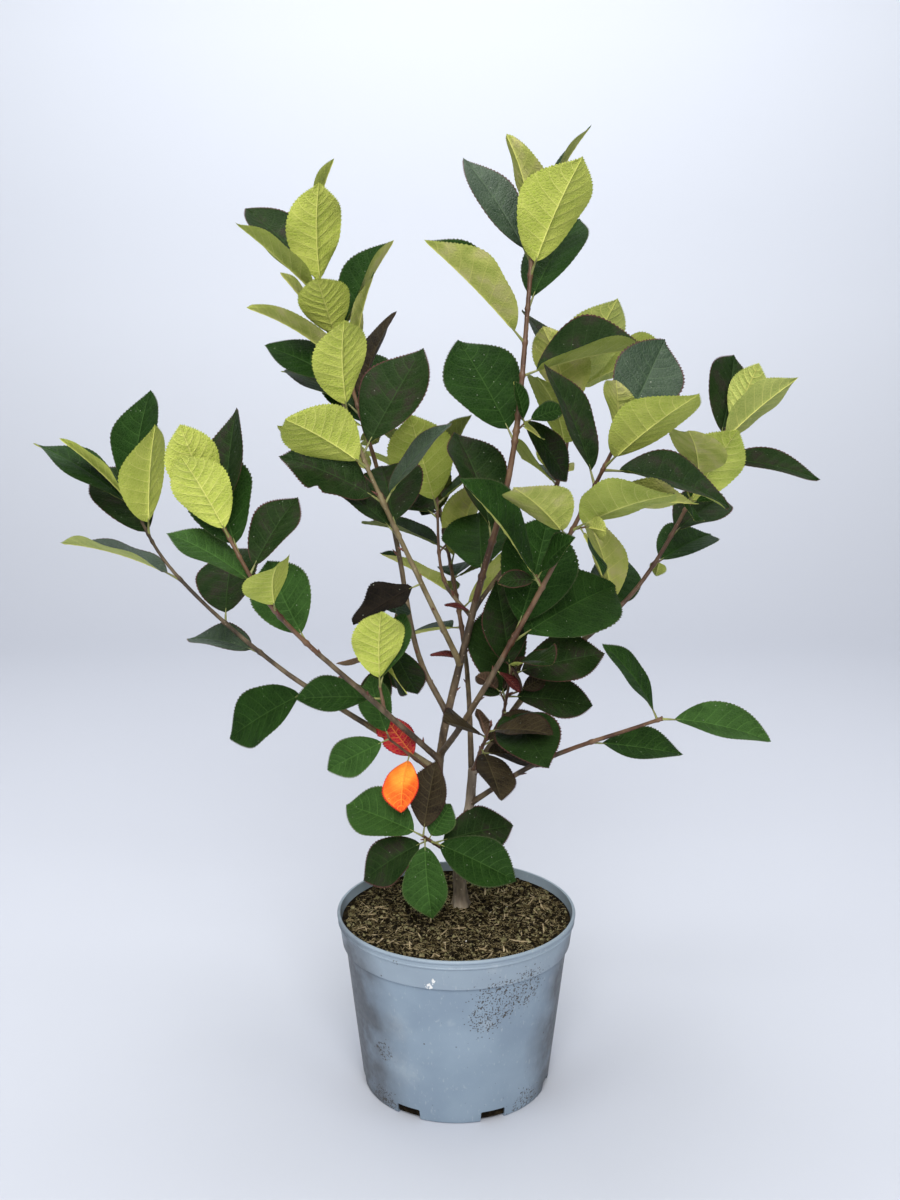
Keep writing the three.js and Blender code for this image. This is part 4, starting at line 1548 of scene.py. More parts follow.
@dataclass
class Plant:
    """The grown shrub: limbs, leaves, dwarf twigs and buds, in millimetres."""

    dwarf: DwarfRule = DwarfRule()
    bud: BudRule = BudRule()
    limbs: dict[str, Limb] = field(default_factory=dict)
    twigs: list[Limb] = field(default_factory=list)
    leaves: list[Leaf] = field(default_factory=list)
    buds: list[Bud] = field(default_factory=list)

    def grow(self) -> None:
        """Grow the limbs, then the leaves of each spray, then the dwarf twigs and buds in their axils."""
        for limb in LIMBS:
            limb.grow(self.limbs)
            self.limbs[limb.name] = limb
        axes = [np.stack([limb.points[:-1], limb.points[1:]], axis=1) for limb in self.limbs.values()]
        room = Room(np.concatenate(axes))
        for spray in SPRAYS:
            self.grow_shown(spray, room)
        for spray in SPRAYS:
            self.grow_spiral(spray, room)
        self.grow_strays(room)
        for spray in SPRAYS:
            self.grow_dwarfs(spray, room)
            self.grow_buds(spray)

    def stand(self, limb: Limb, share: float, turn: float, form: Form, sky: float, aside: float) -> Leaf:
        """Stand a leaf on a limb.

        Args:
            limb: Limb that bears it.
            share: Share of the limb's length.
            turn: Turn about the limb.
            form: Form of the leaf.
            sky: Lift of its upper side to the sky.
            aside: Turn aside, to where it has room.

        Returns:
            The leaf.
        """
        axis = limb.axis(share)
        out = limb.outward(share, turn + aside)
        along = axis * math.cos(form.pitch) + out * math.sin(form.pitch)
        facing = unit(axis - along * axis.dot(along)) + UP * sky
        normal = unit(facing - along * facing.dot(along))
        normal = normal * math.cos(form.roll) + np.cross(along, normal) * math.sin(form.roll)
        base = limb.point(share) + out * limb.radius(share) * RULE.sink
        return Leaf(form, base, along, normal)

    def bear(self, leaf_at: Callable[[float], Leaf], room: Room, spray: str, seed: int, tint: Tint) -> None:
        """Turn a leaf aside until it has room and keep it, or leave it out.

        Args:
            leaf_at: Gives the leaf at a turn aside.
            room: Space of the crown.
            spray: Limb whose foliage it belongs to.
            seed: Seed of its quirks.
            tint: Its tint.
        """
        for aside in RULE.try_turns:
            leaf = leaf_at(aside)
            if room.is_clear(leaf):
                room.placed.append(leaf.sheet())
                leaf.spray = spray
                leaf.seed = seed
                leaf.tint = tint
                self.leaves.append(leaf)
                return

    def grow_shown(self, spray: Spray, room: Room) -> None:
        """Stand the leaves of a spray that show most.

        Args:
            spray: Spray to grow.
            room: Space of the crown.
        """
        limb = self.limbs[spray.limb]
        stream = Seeded(spray.key(SHOWN_STREAM))
        for k, seat in enumerate(spray.shown):
            form = seat.form(stream)
            seed = spray.key(SHOWN_STREAM, k)
            tint = seat.tint or Seeded(seed).choice(spray.tints)
            leaf_at = partial(self.stand, limb, seat.share, seat.turn, form, spray.sky)
            self.bear(leaf_at, room, spray.limb, seed, tint)

    def grow_spiral(self, spray: Spray, room: Room) -> None:
        """Grow the spiral of a spray, from the first leaf on its stem to the last at the tip.

        Args:
            spray: Spray to grow.
            room: Space of the crown.
        """
        limb = self.limbs[spray.limb]
        stream = Seeded(spray.key(LEAF_STREAM))
        odd = dict(spray.odd)
        for i in range(spray.count):
            u = i / (spray.count - 1)
            turn = spray.turn(i) + stream.spread(RULE.turn_spread)
            pitch = spray.pitch[0] + (spray.pitch[1] - spray.pitch[0]) * u
            form = Form.spread(stream, pitch, spray.length * (1 - RULE.tip_loss * u**3))
            seed = spray.key(QUIRK_STREAM, i)
            tint = odd.get(i) or Seeded(seed).choice(spray.tints)
            leaf_at = partial(self.stand, limb, spray.place(limb, i), turn, form, spray.sky)
            self.bear(leaf_at, room, spray.limb, seed, tint)

    def grow_strays(self, room: Room) -> None:
        """Stand the late leaves on the bare wood and in gaps.

        Args:
            room: Space of the crown.
        """
        stream = Seeded(STRAY_STREAM)
        for k, (name, seat) in enumerate(STRAYS):
            form = seat.form(stream)
            leaf_at = partial(self.stand, self.limbs[name], seat.share, seat.turn, form, 0.0)
            self.bear(leaf_at, room, name, STRAY_STREAM + QUIRK_STEP * k, seat.tint)

    def grow_dwarfs(self, spray: Spray, room: Room) -> None:
        """Grow short leafy twigs in some axils below the tuft.

        Args:
            spray: Spray whose axils bear them.
            room: Space of the crown.
        """
        rule = self.dwarf
        limb = self.limbs[spray.limb]
        stream = Seeded(spray.key(DWARF_STREAM))
        for i in range(spray.count - spray.tuft):
            wanted = stream.draw() < rule.share
            length = stream.above(*rule.length)
            if not wanted:
                continue
            place = spray.place(limb, i)
            direction = unit(limb.axis(place) + limb.outward(place, spray.turn(i)) * rule.lean)
            foot = limb.point(place)
            tip = foot + direction * (limb.radius(place) + length)
            twig = Limb(f"{spray.limb}_{i}", Role.SPUR, rule.radii, tuple(tip), foot=tuple(foot))
            twig.grow(self.limbs)
            self.twigs.append(twig)
            for k in range(rule.leaves):
                share = rule.first + (1 - rule.first) * k / (rule.leaves - 1)
                turn = spray.turn(i + k) + stream.spread(RULE.turn_spread)
                size = spray.length * stream.above(*rule.leaf_share)
                pitch = rule.pitch[0] - rule.pitch[1] * k / (rule.leaves - 1)
                form = Form.spread(stream, pitch, size)
                seed = spray.key(DWARF_STREAM, i + k)
                leaf_at = partial(self.stand, twig, share, turn, form, spray.sky)
                self.bear(leaf_at, room, spray.limb, seed, Seeded(seed).choice(spray.tints))

    def grow_buds(self, spray: Spray) -> None:
        """Set pointed buds in some axils of a spray.

        Args:
            spray: Spray whose axils bear them.
        """
        limb = self.limbs[spray.limb]
        stream = Seeded(spray.key(BUD_STREAM))
        stubs = np.arange(self.bud.spacing, limb.bare * limb.length, self.bud.spacing) / limb.length
        places = [*(spray.place(limb, i) for i in range(spray.count)), *stubs]
        for i, place in enumerate(places):
            wanted = stream.draw() < self.bud.share or i >= spray.count
            length = stream.above(*self.bud.length)
            if wanted:
                direction = unit(limb.axis(place) + limb.outward(place, spray.turn(i)) * self.bud.lean)
                self.buds.append(Bud(limb.point(place), direction, limb.radius(place) + length))


# Pieces


def arc(centre: Pair, radius: float, first: float, last: float, steps: int) -> Profile:
    """Points of a rounded corner of a profile.

    Args:
        centre: Radius and height of its centre.
        radius: Radius of the rounding.
        first: Angle of the first point, from outwards over upwards.
        last: Angle of the last point.
        steps: Number of steps.

    Returns:
        Pairs of radius and height.
    """
    turns = [math.radians(first + (last - first) * k / steps) for k in range(steps + 1)]
    return [(centre[0] + radius * math.cos(turn), centre[1] + radius * math.sin(turn)) for turn in turns]


@dataclass
class NurseryPot:
    """Round tapered pot: stepped collar, beaded lip, and drain notches round the foot."""

    height: float = 144.0
    rim_radius: float = 95.0
    foot_radius: float = 75.0
    wall: float = 1.6
    floor: float = 2.0
    foot_round: float = 2.0
    lip_height: float = 3.0
    lip_reach: float = 1.2
    bead_height: float = 2.2
    collar_height: float = 25.0
    collar_taper: float = 2.8
    collar_step: float = 2.4
    collar_round: float = 0.9
    hub: float = 6.0
    recess: float = 1.0
    recess_radius: float = 58.0
    facets: int = 192
    wall_rings: int = 10
    foot_steps: int = 5
    collar_steps: int = 4
    bead_drop: float = 1.5
    bead_turn: float = 70.0
    bead_steps: int = 5
    lip_turns: Pair = (-80.0, 130.0)
    lip_steps: int = 10
    notch_count: int = 7
    notch_width: float = 20.0
    notch_height: float = 9.0
    notch_depth: float = 9.0
    notch_turn: float = 0.607
    notch_round: float = 1.2
    plastic: PotPlastic = PotPlastic()

    @property
    def shoulder(self) -> float:
        """Height where the collar starts."""
        return self.height - self.collar_height

    @property
    def collar_radius(self) -> float:
        """Radius of the collar below the lip."""
        return self.rim_radius - self.lip_reach

    @property
    def shoulder_radius(self) -> float:
        """Radius of the wall below the collar."""
        return self.collar_radius - self.collar_taper - self.collar_step

    def wall_radius(self, height: float) -> float:
        """Outer radius of the wall at a height."""
        if height > self.shoulder:
            share = (height - self.shoulder) / (self.collar_height - self.lip_height)
            return self.collar_radius - self.collar_taper * (1 - share)
        return self.foot_radius + (self.shoulder_radius - self.foot_radius) * height / self.shoulder

    def mark_place(self, turn: float, height: float) -> Array:
        """Point on the wall at a turn from the front and a height."""
        radius = self.wall_radius(height)
        angle = math.radians(turn)
        return np.array([radius * math.sin(angle), -radius * math.cos(angle), height])

    def profile(self) -> Profile:
        """Half section from the hub of the underside over the lip to the hub of the floor."""
        foot_centre = (self.foot_radius - self.foot_round, self.foot_round)
        foot = arc(foot_centre, self.foot_round, -90, 0, self.foot_steps)
        rises = np.linspace(2 * self.foot_round, self.shoulder - 1, self.wall_rings)
        wall = [(self.wall_radius(rise), rise) for rise in rises]
        step = (self.shoulder_radius, self.shoulder)
        low = self.collar_radius - self.collar_taper
        collar_centre = (low - self.collar_round, self.shoulder + self.collar_round)
        collar = arc(collar_centre, self.collar_round, -90, 0, self.collar_steps)
        bead = self.bead_height / 2
        bead_middle = self.height - self.lip_height - self.bead_drop * self.bead_height
        ledge = (self.wall_radius(bead_middle - bead), bead_middle - bead)
        bead_centre = (self.wall_radius(bead_middle), bead_middle)
        beads = arc(bead_centre, bead, -self.bead_turn, self.bead_turn, self.bead_steps)
        half = self.lip_height / 2
        lip = arc((self.rim_radius - half, self.height - half), half, *self.lip_turns, self.lip_steps)
        inner = [
            (self.collar_radius - self.wall, self.height - self.lip_height),
            (low - self.wall, self.shoulder + self.wall),
            (self.shoulder_radius - self.wall, self.shoulder),
            (self.wall_radius(self.floor) - self.wall, self.floor),
            (self.hub, self.floor),
        ]
        under = [
            (self.hub, self.recess),
            (self.recess_radius - self.recess, self.recess),
            (self.recess_radius, 0.0),
        ]
        return [*under, *foot, *wall, step, *collar, ledge, *beads, *lip, *inner]

    def turn_body(self) -> Piece:
        """Draw a ring along the half section, ring by ring, and close both hubs."""
        profile = self.profile()
        body = ring("nursery_pot", self.facets, *profile[0])
        bpy.ops.mesh.delete(type="ONLY_FACE")
        bpy.ops.mesh.select_all(action="SELECT")
        draw_on(profile)
        reach = (self.hub + 1) * MM
        below = (self.recess + self.floor) / 2 * MM
        pick(body, lambda place: math.hypot(place.x, place.y) < reach and place.z < below)
        bpy.ops.mesh.edge_face_add()
        turn_outwards()
        return body

    def notch_cutter(self) -> Piece:
        """Model one rounded drain notch and copy it round the foot."""
        bpy.ops.object.select_all(action="DESELECT")
        size = (4 * self.notch_depth * MM, self.notch_width * MM, 2 * self.notch_height * MM)
        bpy.ops.mesh.primitive_cube_add(size=1.0, location=((self.foot_radius + self.notch_depth) * MM, 0, 0))
        cutter = bpy.context.object
        cutter.scale = size
        bpy.ops.object.transform_apply(location=True, rotation=False, scale=True)
        bpy.ops.object.mode_set(mode="EDIT")
        pick(cutter, lambda place: place.z > 0)
        bpy.ops.mesh.bevel(offset=self.notch_round * MM, segments=3, affect="EDGES")
        bpy.ops.mesh.select_all(action="SELECT")
        bpy.ops.transform.rotate(value=-self.notch_turn, orient_axis="Z", center_override=(0, 0, 0))
        turn = -2 * math.pi / self.notch_count
        for _ in range(self.notch_count - 1):
            bpy.ops.mesh.duplicate()
            bpy.ops.transform.rotate(value=turn, orient_axis="Z", center_override=(0, 0, 0))
        bpy.ops.object.mode_set(mode="OBJECT")
        return cutter

    def build(self) -> list[Piece]:
        """Turn the pot, cut its drain notches and dress it.

        Returns:
            The pot.
        """
        body = self.turn_body()
        cutter = self.notch_cutter()
        hold(body)
        cut = body.modifiers.new("drain_notches", "BOOLEAN")
        cut.operation = "DIFFERENCE"
        cut.solver = "EXACT"
        cut.object = cutter
        bpy.ops.object.modifier_apply(modifier=cut.name)
        bpy.data.objects.remove(cutter, do_unlink=True)
        dress(body, [self.plastic.material(self.mark_place)])
        smooth(body)
        return [seat(body, "pot", ["pot"])]


@dataclass(frozen=True)
class Bits:
    """Many bits of one kind: number, distance from the wall, least size and spread, bias, and half widths."""

    count: int
    margin: float
    size: Pair
    bias: float
    width: Pair = (0.0, 0.0)

    def sizes(self, rng: Draws) -> Array:
        """Draw the sizes, most of them small."""
        return self.size[0] + self.size[1] * rng.random(self.count) ** self.bias

    def widths(self, rng: Draws) -> Array:
        """Draw the half widths."""
        return self.width[0] + self.width[1] * rng.random(self.count)


def crumbly(name: str, shades: Shades, specular: float) -> Mottled:
    """Finish of the crumbs of one shade."""
    return Mottled(name, shades, patch=3.0, grain=0.6, depth=0.3, roughness=(0.8, 1.0), specular=specular)


@dataclass
class Compost:
    """Moist peat: an uneven bed, and crumbs, fibres, straw and perlite strewn over it."""

    level: float = 136.4
    radius: float = 91.2
    ledge_level: float = 121.0
    ledge_radius: float = 89.0
    waist_level: float = 118.6
    waist_radius: float = 86.6
    foot_level: float = 2.4
    foot_radius: float = 73.3
    facets: int = 144
    rings: int = 30
    mounds: tuple[Pair, ...] = ((26.0, 3.4), (7.0, 2.2), (2.4, 1.3))
    mound_octaves: int = 2
    rim_margin: float = 0.5
    crumbs: Bits = Bits(7600, 2.5, (0.35, 1.15), 2.6)
    fibres: Bits = Bits(3400, 4.0, (3.0, 8.0), 2, (0.18, 0.25))
    straws: Bits = Bits(150, 10.0, (6.0, 14.0), 2, (0.35, 0.55))
    stones: Bits = Bits(9, 6.0, (0.6, 1.0), 2)
    crumb_shares: tuple[float, ...] = (0.5, 0.3, 0.2)
    grain_stretch: Pair = (0.35, 1.3)
    grain_dents: Pair = (0.6, 0.8)
    strand_taper: tuple[float, ...] = (0.5, 1.0, 1.0, 0.9, 0.4)
    strand_tilt: float = 0.35
    strand_dip: float = 0.3
    strand_bend: float = 0.5
    strand_bow: float = 0.12
    strand_lift: float = 0.4
    strand_sides: int = 3
    seed: int = 41
    top_group: str = "top"
    # Moist peat, painted darker still as the shade in the gaps between the crumbs
    bed_and_gap_shade_finish: Mottled = Mottled(
        "compost_bed",
        ((0.003, 0.002, 0.001), (0.010, 0.007, 0.004), (0.030, 0.022, 0.011)),
        patch=4.0, grain=1.0, depth=0.8, roughness=(0.85, 1.0), specular=0.05,
    )
    crumb_finishes: tuple[Mottled, ...] = (
        crumbly("compost_dark", ((0.004, 0.003, 0.001), (0.016, 0.012, 0.005)), 0.06),
        crumbly("compost_brown", ((0.024, 0.018, 0.007), (0.075, 0.057, 0.024)), 0.1),
        crumbly("compost_olive", ((0.095, 0.086, 0.036), (0.290, 0.260, 0.140)), 0.1),
    )
    fibre_finish: Mottled = Mottled(
        "compost_fibre", ((0.095, 0.072, 0.030), (0.310, 0.250, 0.130)), 6.0, 0.5, 0.1, (0.7, 0.95), 0.3
    )
    straw_finish: Mottled = Mottled(
        "compost_straw", ((0.28, 0.21, 0.11), (0.52, 0.42, 0.26)), 5.0, 0.5, 0.1, (0.55, 0.8), 0.4
    )
    stone_finish: Mottled = Mottled(
        "perlite", ((0.50, 0.47, 0.42), (0.78, 0.76, 0.72)), 1.5, 0.4, 0.2, (0.75, 0.95), 0.4
    )

    def bed(self) -> Piece:
        """Model the bed: inset rings for its uneven top, and its body drawn down to the pot's floor."""
        section = [
            (self.radius, self.level),
            (self.ledge_radius, self.ledge_level),
            (self.waist_radius, self.waist_level),
            (self.foot_radius, self.foot_level),
        ]
        bed = ring("compost_bed", self.facets, *section[0])
        bpy.ops.mesh.select_mode(type="FACE")
        bpy.ops.mesh.select_all(action="SELECT")
        for _ in range(self.rings):
            bpy.ops.mesh.inset(thickness=self.radius * MM / (self.rings + 1), depth=0)
        bpy.ops.mesh.poke()
        bpy.ops.mesh.select_mode(type="VERT")
        rim = (self.radius - self.rim_margin) * MM
        pick(bed, lambda place: math.hypot(place.x, place.y) > rim)
        draw_on(section)
        turn_outwards()
        low = (self.level - 1) * MM
        corners = [v.index for v in bed.data.vertices if v.co.z > low and math.hypot(v.co.x, v.co.y) < rim]
        bed.vertex_groups.new(name=self.top_group).add(corners, 1.0, "REPLACE")
        for width, depth in self.mounds:
            texture = bpy.data.textures.new(f"mounds_{width:g}", "CLOUDS")
            texture.noise_scale = width * MM
            texture.noise_depth = self.mound_octaves
            raise_top = bed.modifiers.new(texture.name, "DISPLACE")
            raise_top.texture = texture
            raise_top.texture_coords = "LOCAL"
            raise_top.direction = "Z"
            raise_top.mid_level = 0.5
            raise_top.strength = depth * MM
            raise_top.vertex_group = self.top_group
            hold(bed)
            bpy.ops.object.modifier_apply(modifier=raise_top.name)
        dress(bed, [self.bed_and_gap_shade_finish.material()])
        smooth(bed)
        return seat(bed, "soil", ["soil"])

    def strew(self, rng: Draws, ground: BVHTree, bits: Bits) -> Array:
        """Places on the bed for many bits.

        Args:
            rng: Seeded draws.
            ground: The bed's surface.
            bits: Number of the bits and the distance that they keep from the wall.

        Returns:
            Points in millimetres.
        """
        away = (self.radius - bits.margin) * np.sqrt(rng.random(bits.count))
        turn = 2 * math.pi * rng.random(bits.count)
        places = []
        for x, y in zip(away * np.cos(turn), away * np.sin(turn), strict=True):
            hit = ground.ray_cast(Vector((x * MM, y * MM, 2 * self.level * MM)), Vector((0, 0, -1)))[0]
            places.append((x, y, hit.z / MM))
        return np.array(places)

    def grains(self, rng: Draws, places: Array, sizes: Array, slots: Array) -> Heap:
        """Many-sided crumbs.

        Args:
            rng: Seeded draws.
            places: Where they lie.
            sizes: Their radii.
            slots: Material slot of each.

        Returns:
            Heap of crumbs.
        """
        ball = bmesh.new()
        bmesh.ops.create_icosphere(ball, subdivisions=1, radius=1.0)
        corners = np.array([v.co[:] for v in ball.verts])
        faces = np.array([[v.index for v in face.verts] for face in ball.faces])
        ball.free()
        heap = Heap()
        for place, size, slot in zip(places, sizes, slots, strict=True):
            stretch = size * (self.grain_stretch[0] + self.grain_stretch[1] * rng.random(3))
            dents = self.grain_dents[0] + self.grain_dents[1] * rng.random((len(corners), 1))
            turn = np.array(Euler(tuple(rng.random(3) * 2 * math.pi)).to_matrix())
            heap.add((corners * dents * stretch) @ turn.T + place, faces, int(slot))
        return heap

    def strands(self, rng: Draws, ground: BVHTree, bits: Bits) -> Heap:
        """Bent flat strands.

        Args:
            rng: Seeded draws.
            ground: The bed's surface.
            bits: Number and sizes of the strands.

        Returns:
            Heap of strands.
        """
        heap = Heap()
        run = np.linspace(-0.5, 0.5, len(self.strand_taper))
        taper = np.array(self.strand_taper)
        places = self.strew(rng, ground, bits)
        for place, length, width in zip(places, bits.sizes(rng), bits.widths(rng), strict=True):
            turn = 2 * math.pi * rng.random()
            tilt = self.strand_tilt * (rng.random() - self.strand_dip)
            bend = self.strand_bend * (rng.random() - 0.5)
            ahead = np.array([math.cos(turn), math.sin(turn), tilt])
            aside = np.array([-math.sin(turn), math.cos(turn), 0.0])
            bow = bend * length * (run**2 - self.strand_bow)
            line = place + ahead * (run * length)[:, None] + aside * bow[:, None]
            line[:, 2] += self.strand_lift * width
            heap.add(*tube(line, taper * width, self.strand_sides))
        return heap

    def build(self) -> list[Piece]:
        """Model the bed and strew the bits over it.

        Returns:
            Bed, crumbs, fibres, straw and perlite.
        """
        bed = self.bed()
        rng = np.random.default_rng(self.seed)
        ground = BVHTree.FromObject(bed, bpy.context.evaluated_depsgraph_get())
        sizes = self.crumbs.sizes(rng)
        slots = rng.choice(len(self.crumb_finishes), self.crumbs.count, p=self.crumb_shares)
        crumbs = self.grains(rng, self.strew(rng, ground, self.crumbs), sizes, slots)
        fibres = self.strands(rng, ground, self.fibres)
        straws = self.strands(rng, ground, self.straws)
        sizes = self.stones.sizes(rng)
        stones = self.grains(rng, self.strew(rng, ground, self.stones), sizes, np.zeros(self.stones.count))
        pieces = [
            crumbs.piece("compost_crumbs", [finish.material() for finish in self.crumb_finishes]),
            fibres.piece("compost_fibres", [self.fibre_finish.material()]),
            straws.piece("compost_straw", [self.straw_finish.material()]),
            stones.piece("compost_perlite", [self.stone_finish.material()]),
        ]
        return [bed, *(seat(piece, "soil") for piece in pieces)]


@dataclass
class Framework:
    """Trunk, stems, boughs and leafy twigs with the relief of their bark, and the buds on them."""

    plant: Plant
    step: float = 1.8
    trunk_step: float = 1.2
    trunk_sides: int = 28
    bough_sides: int = 16
    twig_sides: int = 12
    overlap: float = 1.5
    flare_reach: float = 2.6
    flare_run: float = 7.0
    flare_lobes: int = 5
    flare_lobe: float = 0.35
    collar_reach: float = 0.4
    collar_run: float = 3.5
    knot_reach: float = 0.42
    knot_run: float = 1.6
    streak_share: float = 0.05
    streak_rings: int = 7
    pore_share: float = 0.05
    pore_height: float = 0.14
    streak_end: float = 1.001
    least_rings: int = 4
    bud_sides: int = 6
    bud_radius: float = 1.05
    bud_rings: tuple[float, ...] = (0.0, 0.2, 0.42, 0.45, 0.66, 0.69, 0.88, 1.0)
    bud_girths: tuple[float, ...] = (0.55, 0.8, 1.0, 0.86, 0.84, 0.64, 0.42, 0.12)
    seed: int = 23

    def stretch(self, limb: Limb, first: float, last: float, sides: int, step: float) -> tuple[Array, Array]:
        """Tube of a stretch of a limb, with knots at its leaf places, streaks and pores.

        Args:
            limb: The limb.
            first: Share of its length where the stretch starts.
            last: Share of its length where it ends.
            sides: Number of sides.
            step: Distance between rings.

        Returns:
            Corners and faces.
        """
        rng = np.random.default_rng(self.seed + sum(map(ord, limb.name)))
        count = max(self.least_rings, round((last - first) * limb.length / step))
        shares = np.linspace(first, last, count + 1)
        points = np.array([limb.point(share) for share in shares])
        radii = np.array([limb.radius(share) for share in shares])
        run = shares * limb.length
        bulge = self.collar_reach * np.exp(-run / self.collar_run) if limb.parent else np.zeros(count + 1)
        for spray in SPRAYS:
            if spray.limb == limb.name:
                for place in spray.places(limb):
                    away = run - place * limb.length
                    bulge = np.maximum(bulge, self.knot_reach * np.exp(-((away / self.knot_run) ** 2)))
        coarse = rng.standard_normal((count // self.streak_rings + 2, sides)) * self.streak_share
        places = np.linspace(0, len(coarse) - self.streak_end, count + 1)
        low = places.astype(int)
        part = (places - low)[:, None]
        streaks = coarse[low] * (1 - part) + coarse[low + 1] * part
        pores = (rng.random((count + 1, sides)) < self.pore_share) * self.pore_height
        reach = radii[:, None] * (1 + bulge[:, None] + streaks) + pores
        if limb.role is Role.TRUNK:
            turns = np.arange(sides) * (2 * math.pi * self.flare_lobes / sides)
            flare = self.flare_reach * np.exp(-run / self.flare_run)
            reach += flare[:, None] * (1 + self.flare_lobe * np.cos(turns))
        return tube(points, reach, sides)

    def bud_shape(self, bud: Bud) -> tuple[Array, Array]:
        """Pointed bud with overlapping scales.

        Args:
            bud: The bud.

        Returns:
            Corners and faces.
        """
        points = bud.foot + bud.direction * (np.array(self.bud_rings) * bud.length)[:, None]
        return tube(points, np.array(self.bud_girths) * self.bud_radius, self.bud_sides)

    def build(self) -> list[Piece]:
        """Join the tubes into trunk, boughs and twigs, and the buds into one piece.

        Returns:
            Trunk with stems, boughs, twigs and buds.
        """
        trunk = Heap()
        boughs = Heap()
        twigs = Heap()
        nodes: dict[str, list[str]] = {"trunk": [], "bough": [], "twig": []}
        for limb in self.plant.limbs.values():
            if limb.role in (Role.TRUNK, Role.STEM):
                sides = self.trunk_sides if limb.role is Role.TRUNK else self.bough_sides
                trunk.add(*self.stretch(limb, 0, limb.bare, sides, self.trunk_step), limb.bark.value)
                nodes["trunk"].append(limb.node())
            elif limb.role is Role.BOUGH:
                boughs.add(*self.stretch(limb, 0, limb.bare, self.bough_sides, self.step), limb.bark.value)
                nodes["bough"].append(limb.node())
            if limb.bare < 1:
                start = max(limb.bare - self.overlap / limb.length, 0)
                twigs.add(*self.stretch(limb, start, 1, self.twig_sides, self.step), limb.young.value)
                nodes["twig"].append(f"foliage_{limb.name}")
        for twig in self.plant.twigs:
            twigs.add(*self.stretch(twig, 0, 1, self.bud_sides, self.step), twig.young.value)
        buds = Heap()
        for bud in self.plant.buds:
            buds.add(*self.bud_shape(bud))
        barks = [BARK_FINISHES[bark].material() for bark in Bark]
        return [
            seat(trunk.piece("trunk_and_stems", barks), "bark", nodes["trunk"]),
            seat(boughs.piece("boughs", barks), "bark", nodes["bough"]),
            seat(twigs.piece("twigs", barks), "bark", nodes["twig"]),
            seat(buds.piece("buds", [BUD_FINISH.material()]), "bark"),
        ]


# How much more the leaves of some tints are crumpled
CRUMPLED: dict[Tint, float] = {DRIED: 3.0, RED: 2.2}

# Corners of a face turned over, in an order that keeps its diagonal
TURNED_OVER = [0, 3, 2, 1]


@dataclass(frozen=True)
class QuirkRule:
    """Least values and spreads of what sets one leaf apart."""

    wave: Pair = (0.010, 0.014)
    cycles: Pair = (1.0, 1.2)
    twist: float = 16.0
    bite_share: float = 0.05
    bite_depth: float = 0.3
    bite_place: Pair = (0.35, 0.4)
    bite_width: float = 0.05
    bite_start: float = 0.5


QUIRKS = QuirkRule()


@dataclass
class Quirk:
    """What sets one leaf apart: waves of its edges, twist, and bites out of an edge."""

    wave: float
    cycles: float
    phases: Pair
    twist: float
    bite: float
    bite_place: float
    bite_side: int

    @classmethod
    def drawn(cls, leaf: Leaf) -> "Quirk":
        """Draw the quirks of a leaf from its own seed, past the draw of its tint."""
        stream = Seeded(leaf.seed)
        stream.draw()
        crumpled = CRUMPLED.get(leaf.tint, 1.0)
        return cls(
            wave=stream.above(*QUIRKS.wave) * leaf.form.length * crumpled,
            cycles=stream.above(*QUIRKS.cycles),
            phases=(2 * math.pi * stream.draw(), 2 * math.pi * stream.draw()),
            twist=math.radians(stream.spread(QUIRKS.twist)) * crumpled,
            bite=QUIRKS.bite_depth if stream.draw() < QUIRKS.bite_share else 0.0,
            bite_place=stream.above(*QUIRKS.bite_place),
            bite_side=1 if stream.draw() < 0.5 else -1,
        )

    def bitten(self, along: Array, across: Array) -> Array:
        """Shares of the half width that are bitten away."""
        near = np.exp(-(((along - self.bite_place) / QUIRKS.bite_width) ** 2))
        return self.bite * (near * (across * self.bite_side > QUIRKS.bite_start))


class Slot(Enum):
    """Material slot of a leaf's faces."""

    UPPER = 0
    UNDER = 1
    VEIN = 2
    RIB = 3
    EDGE = 4


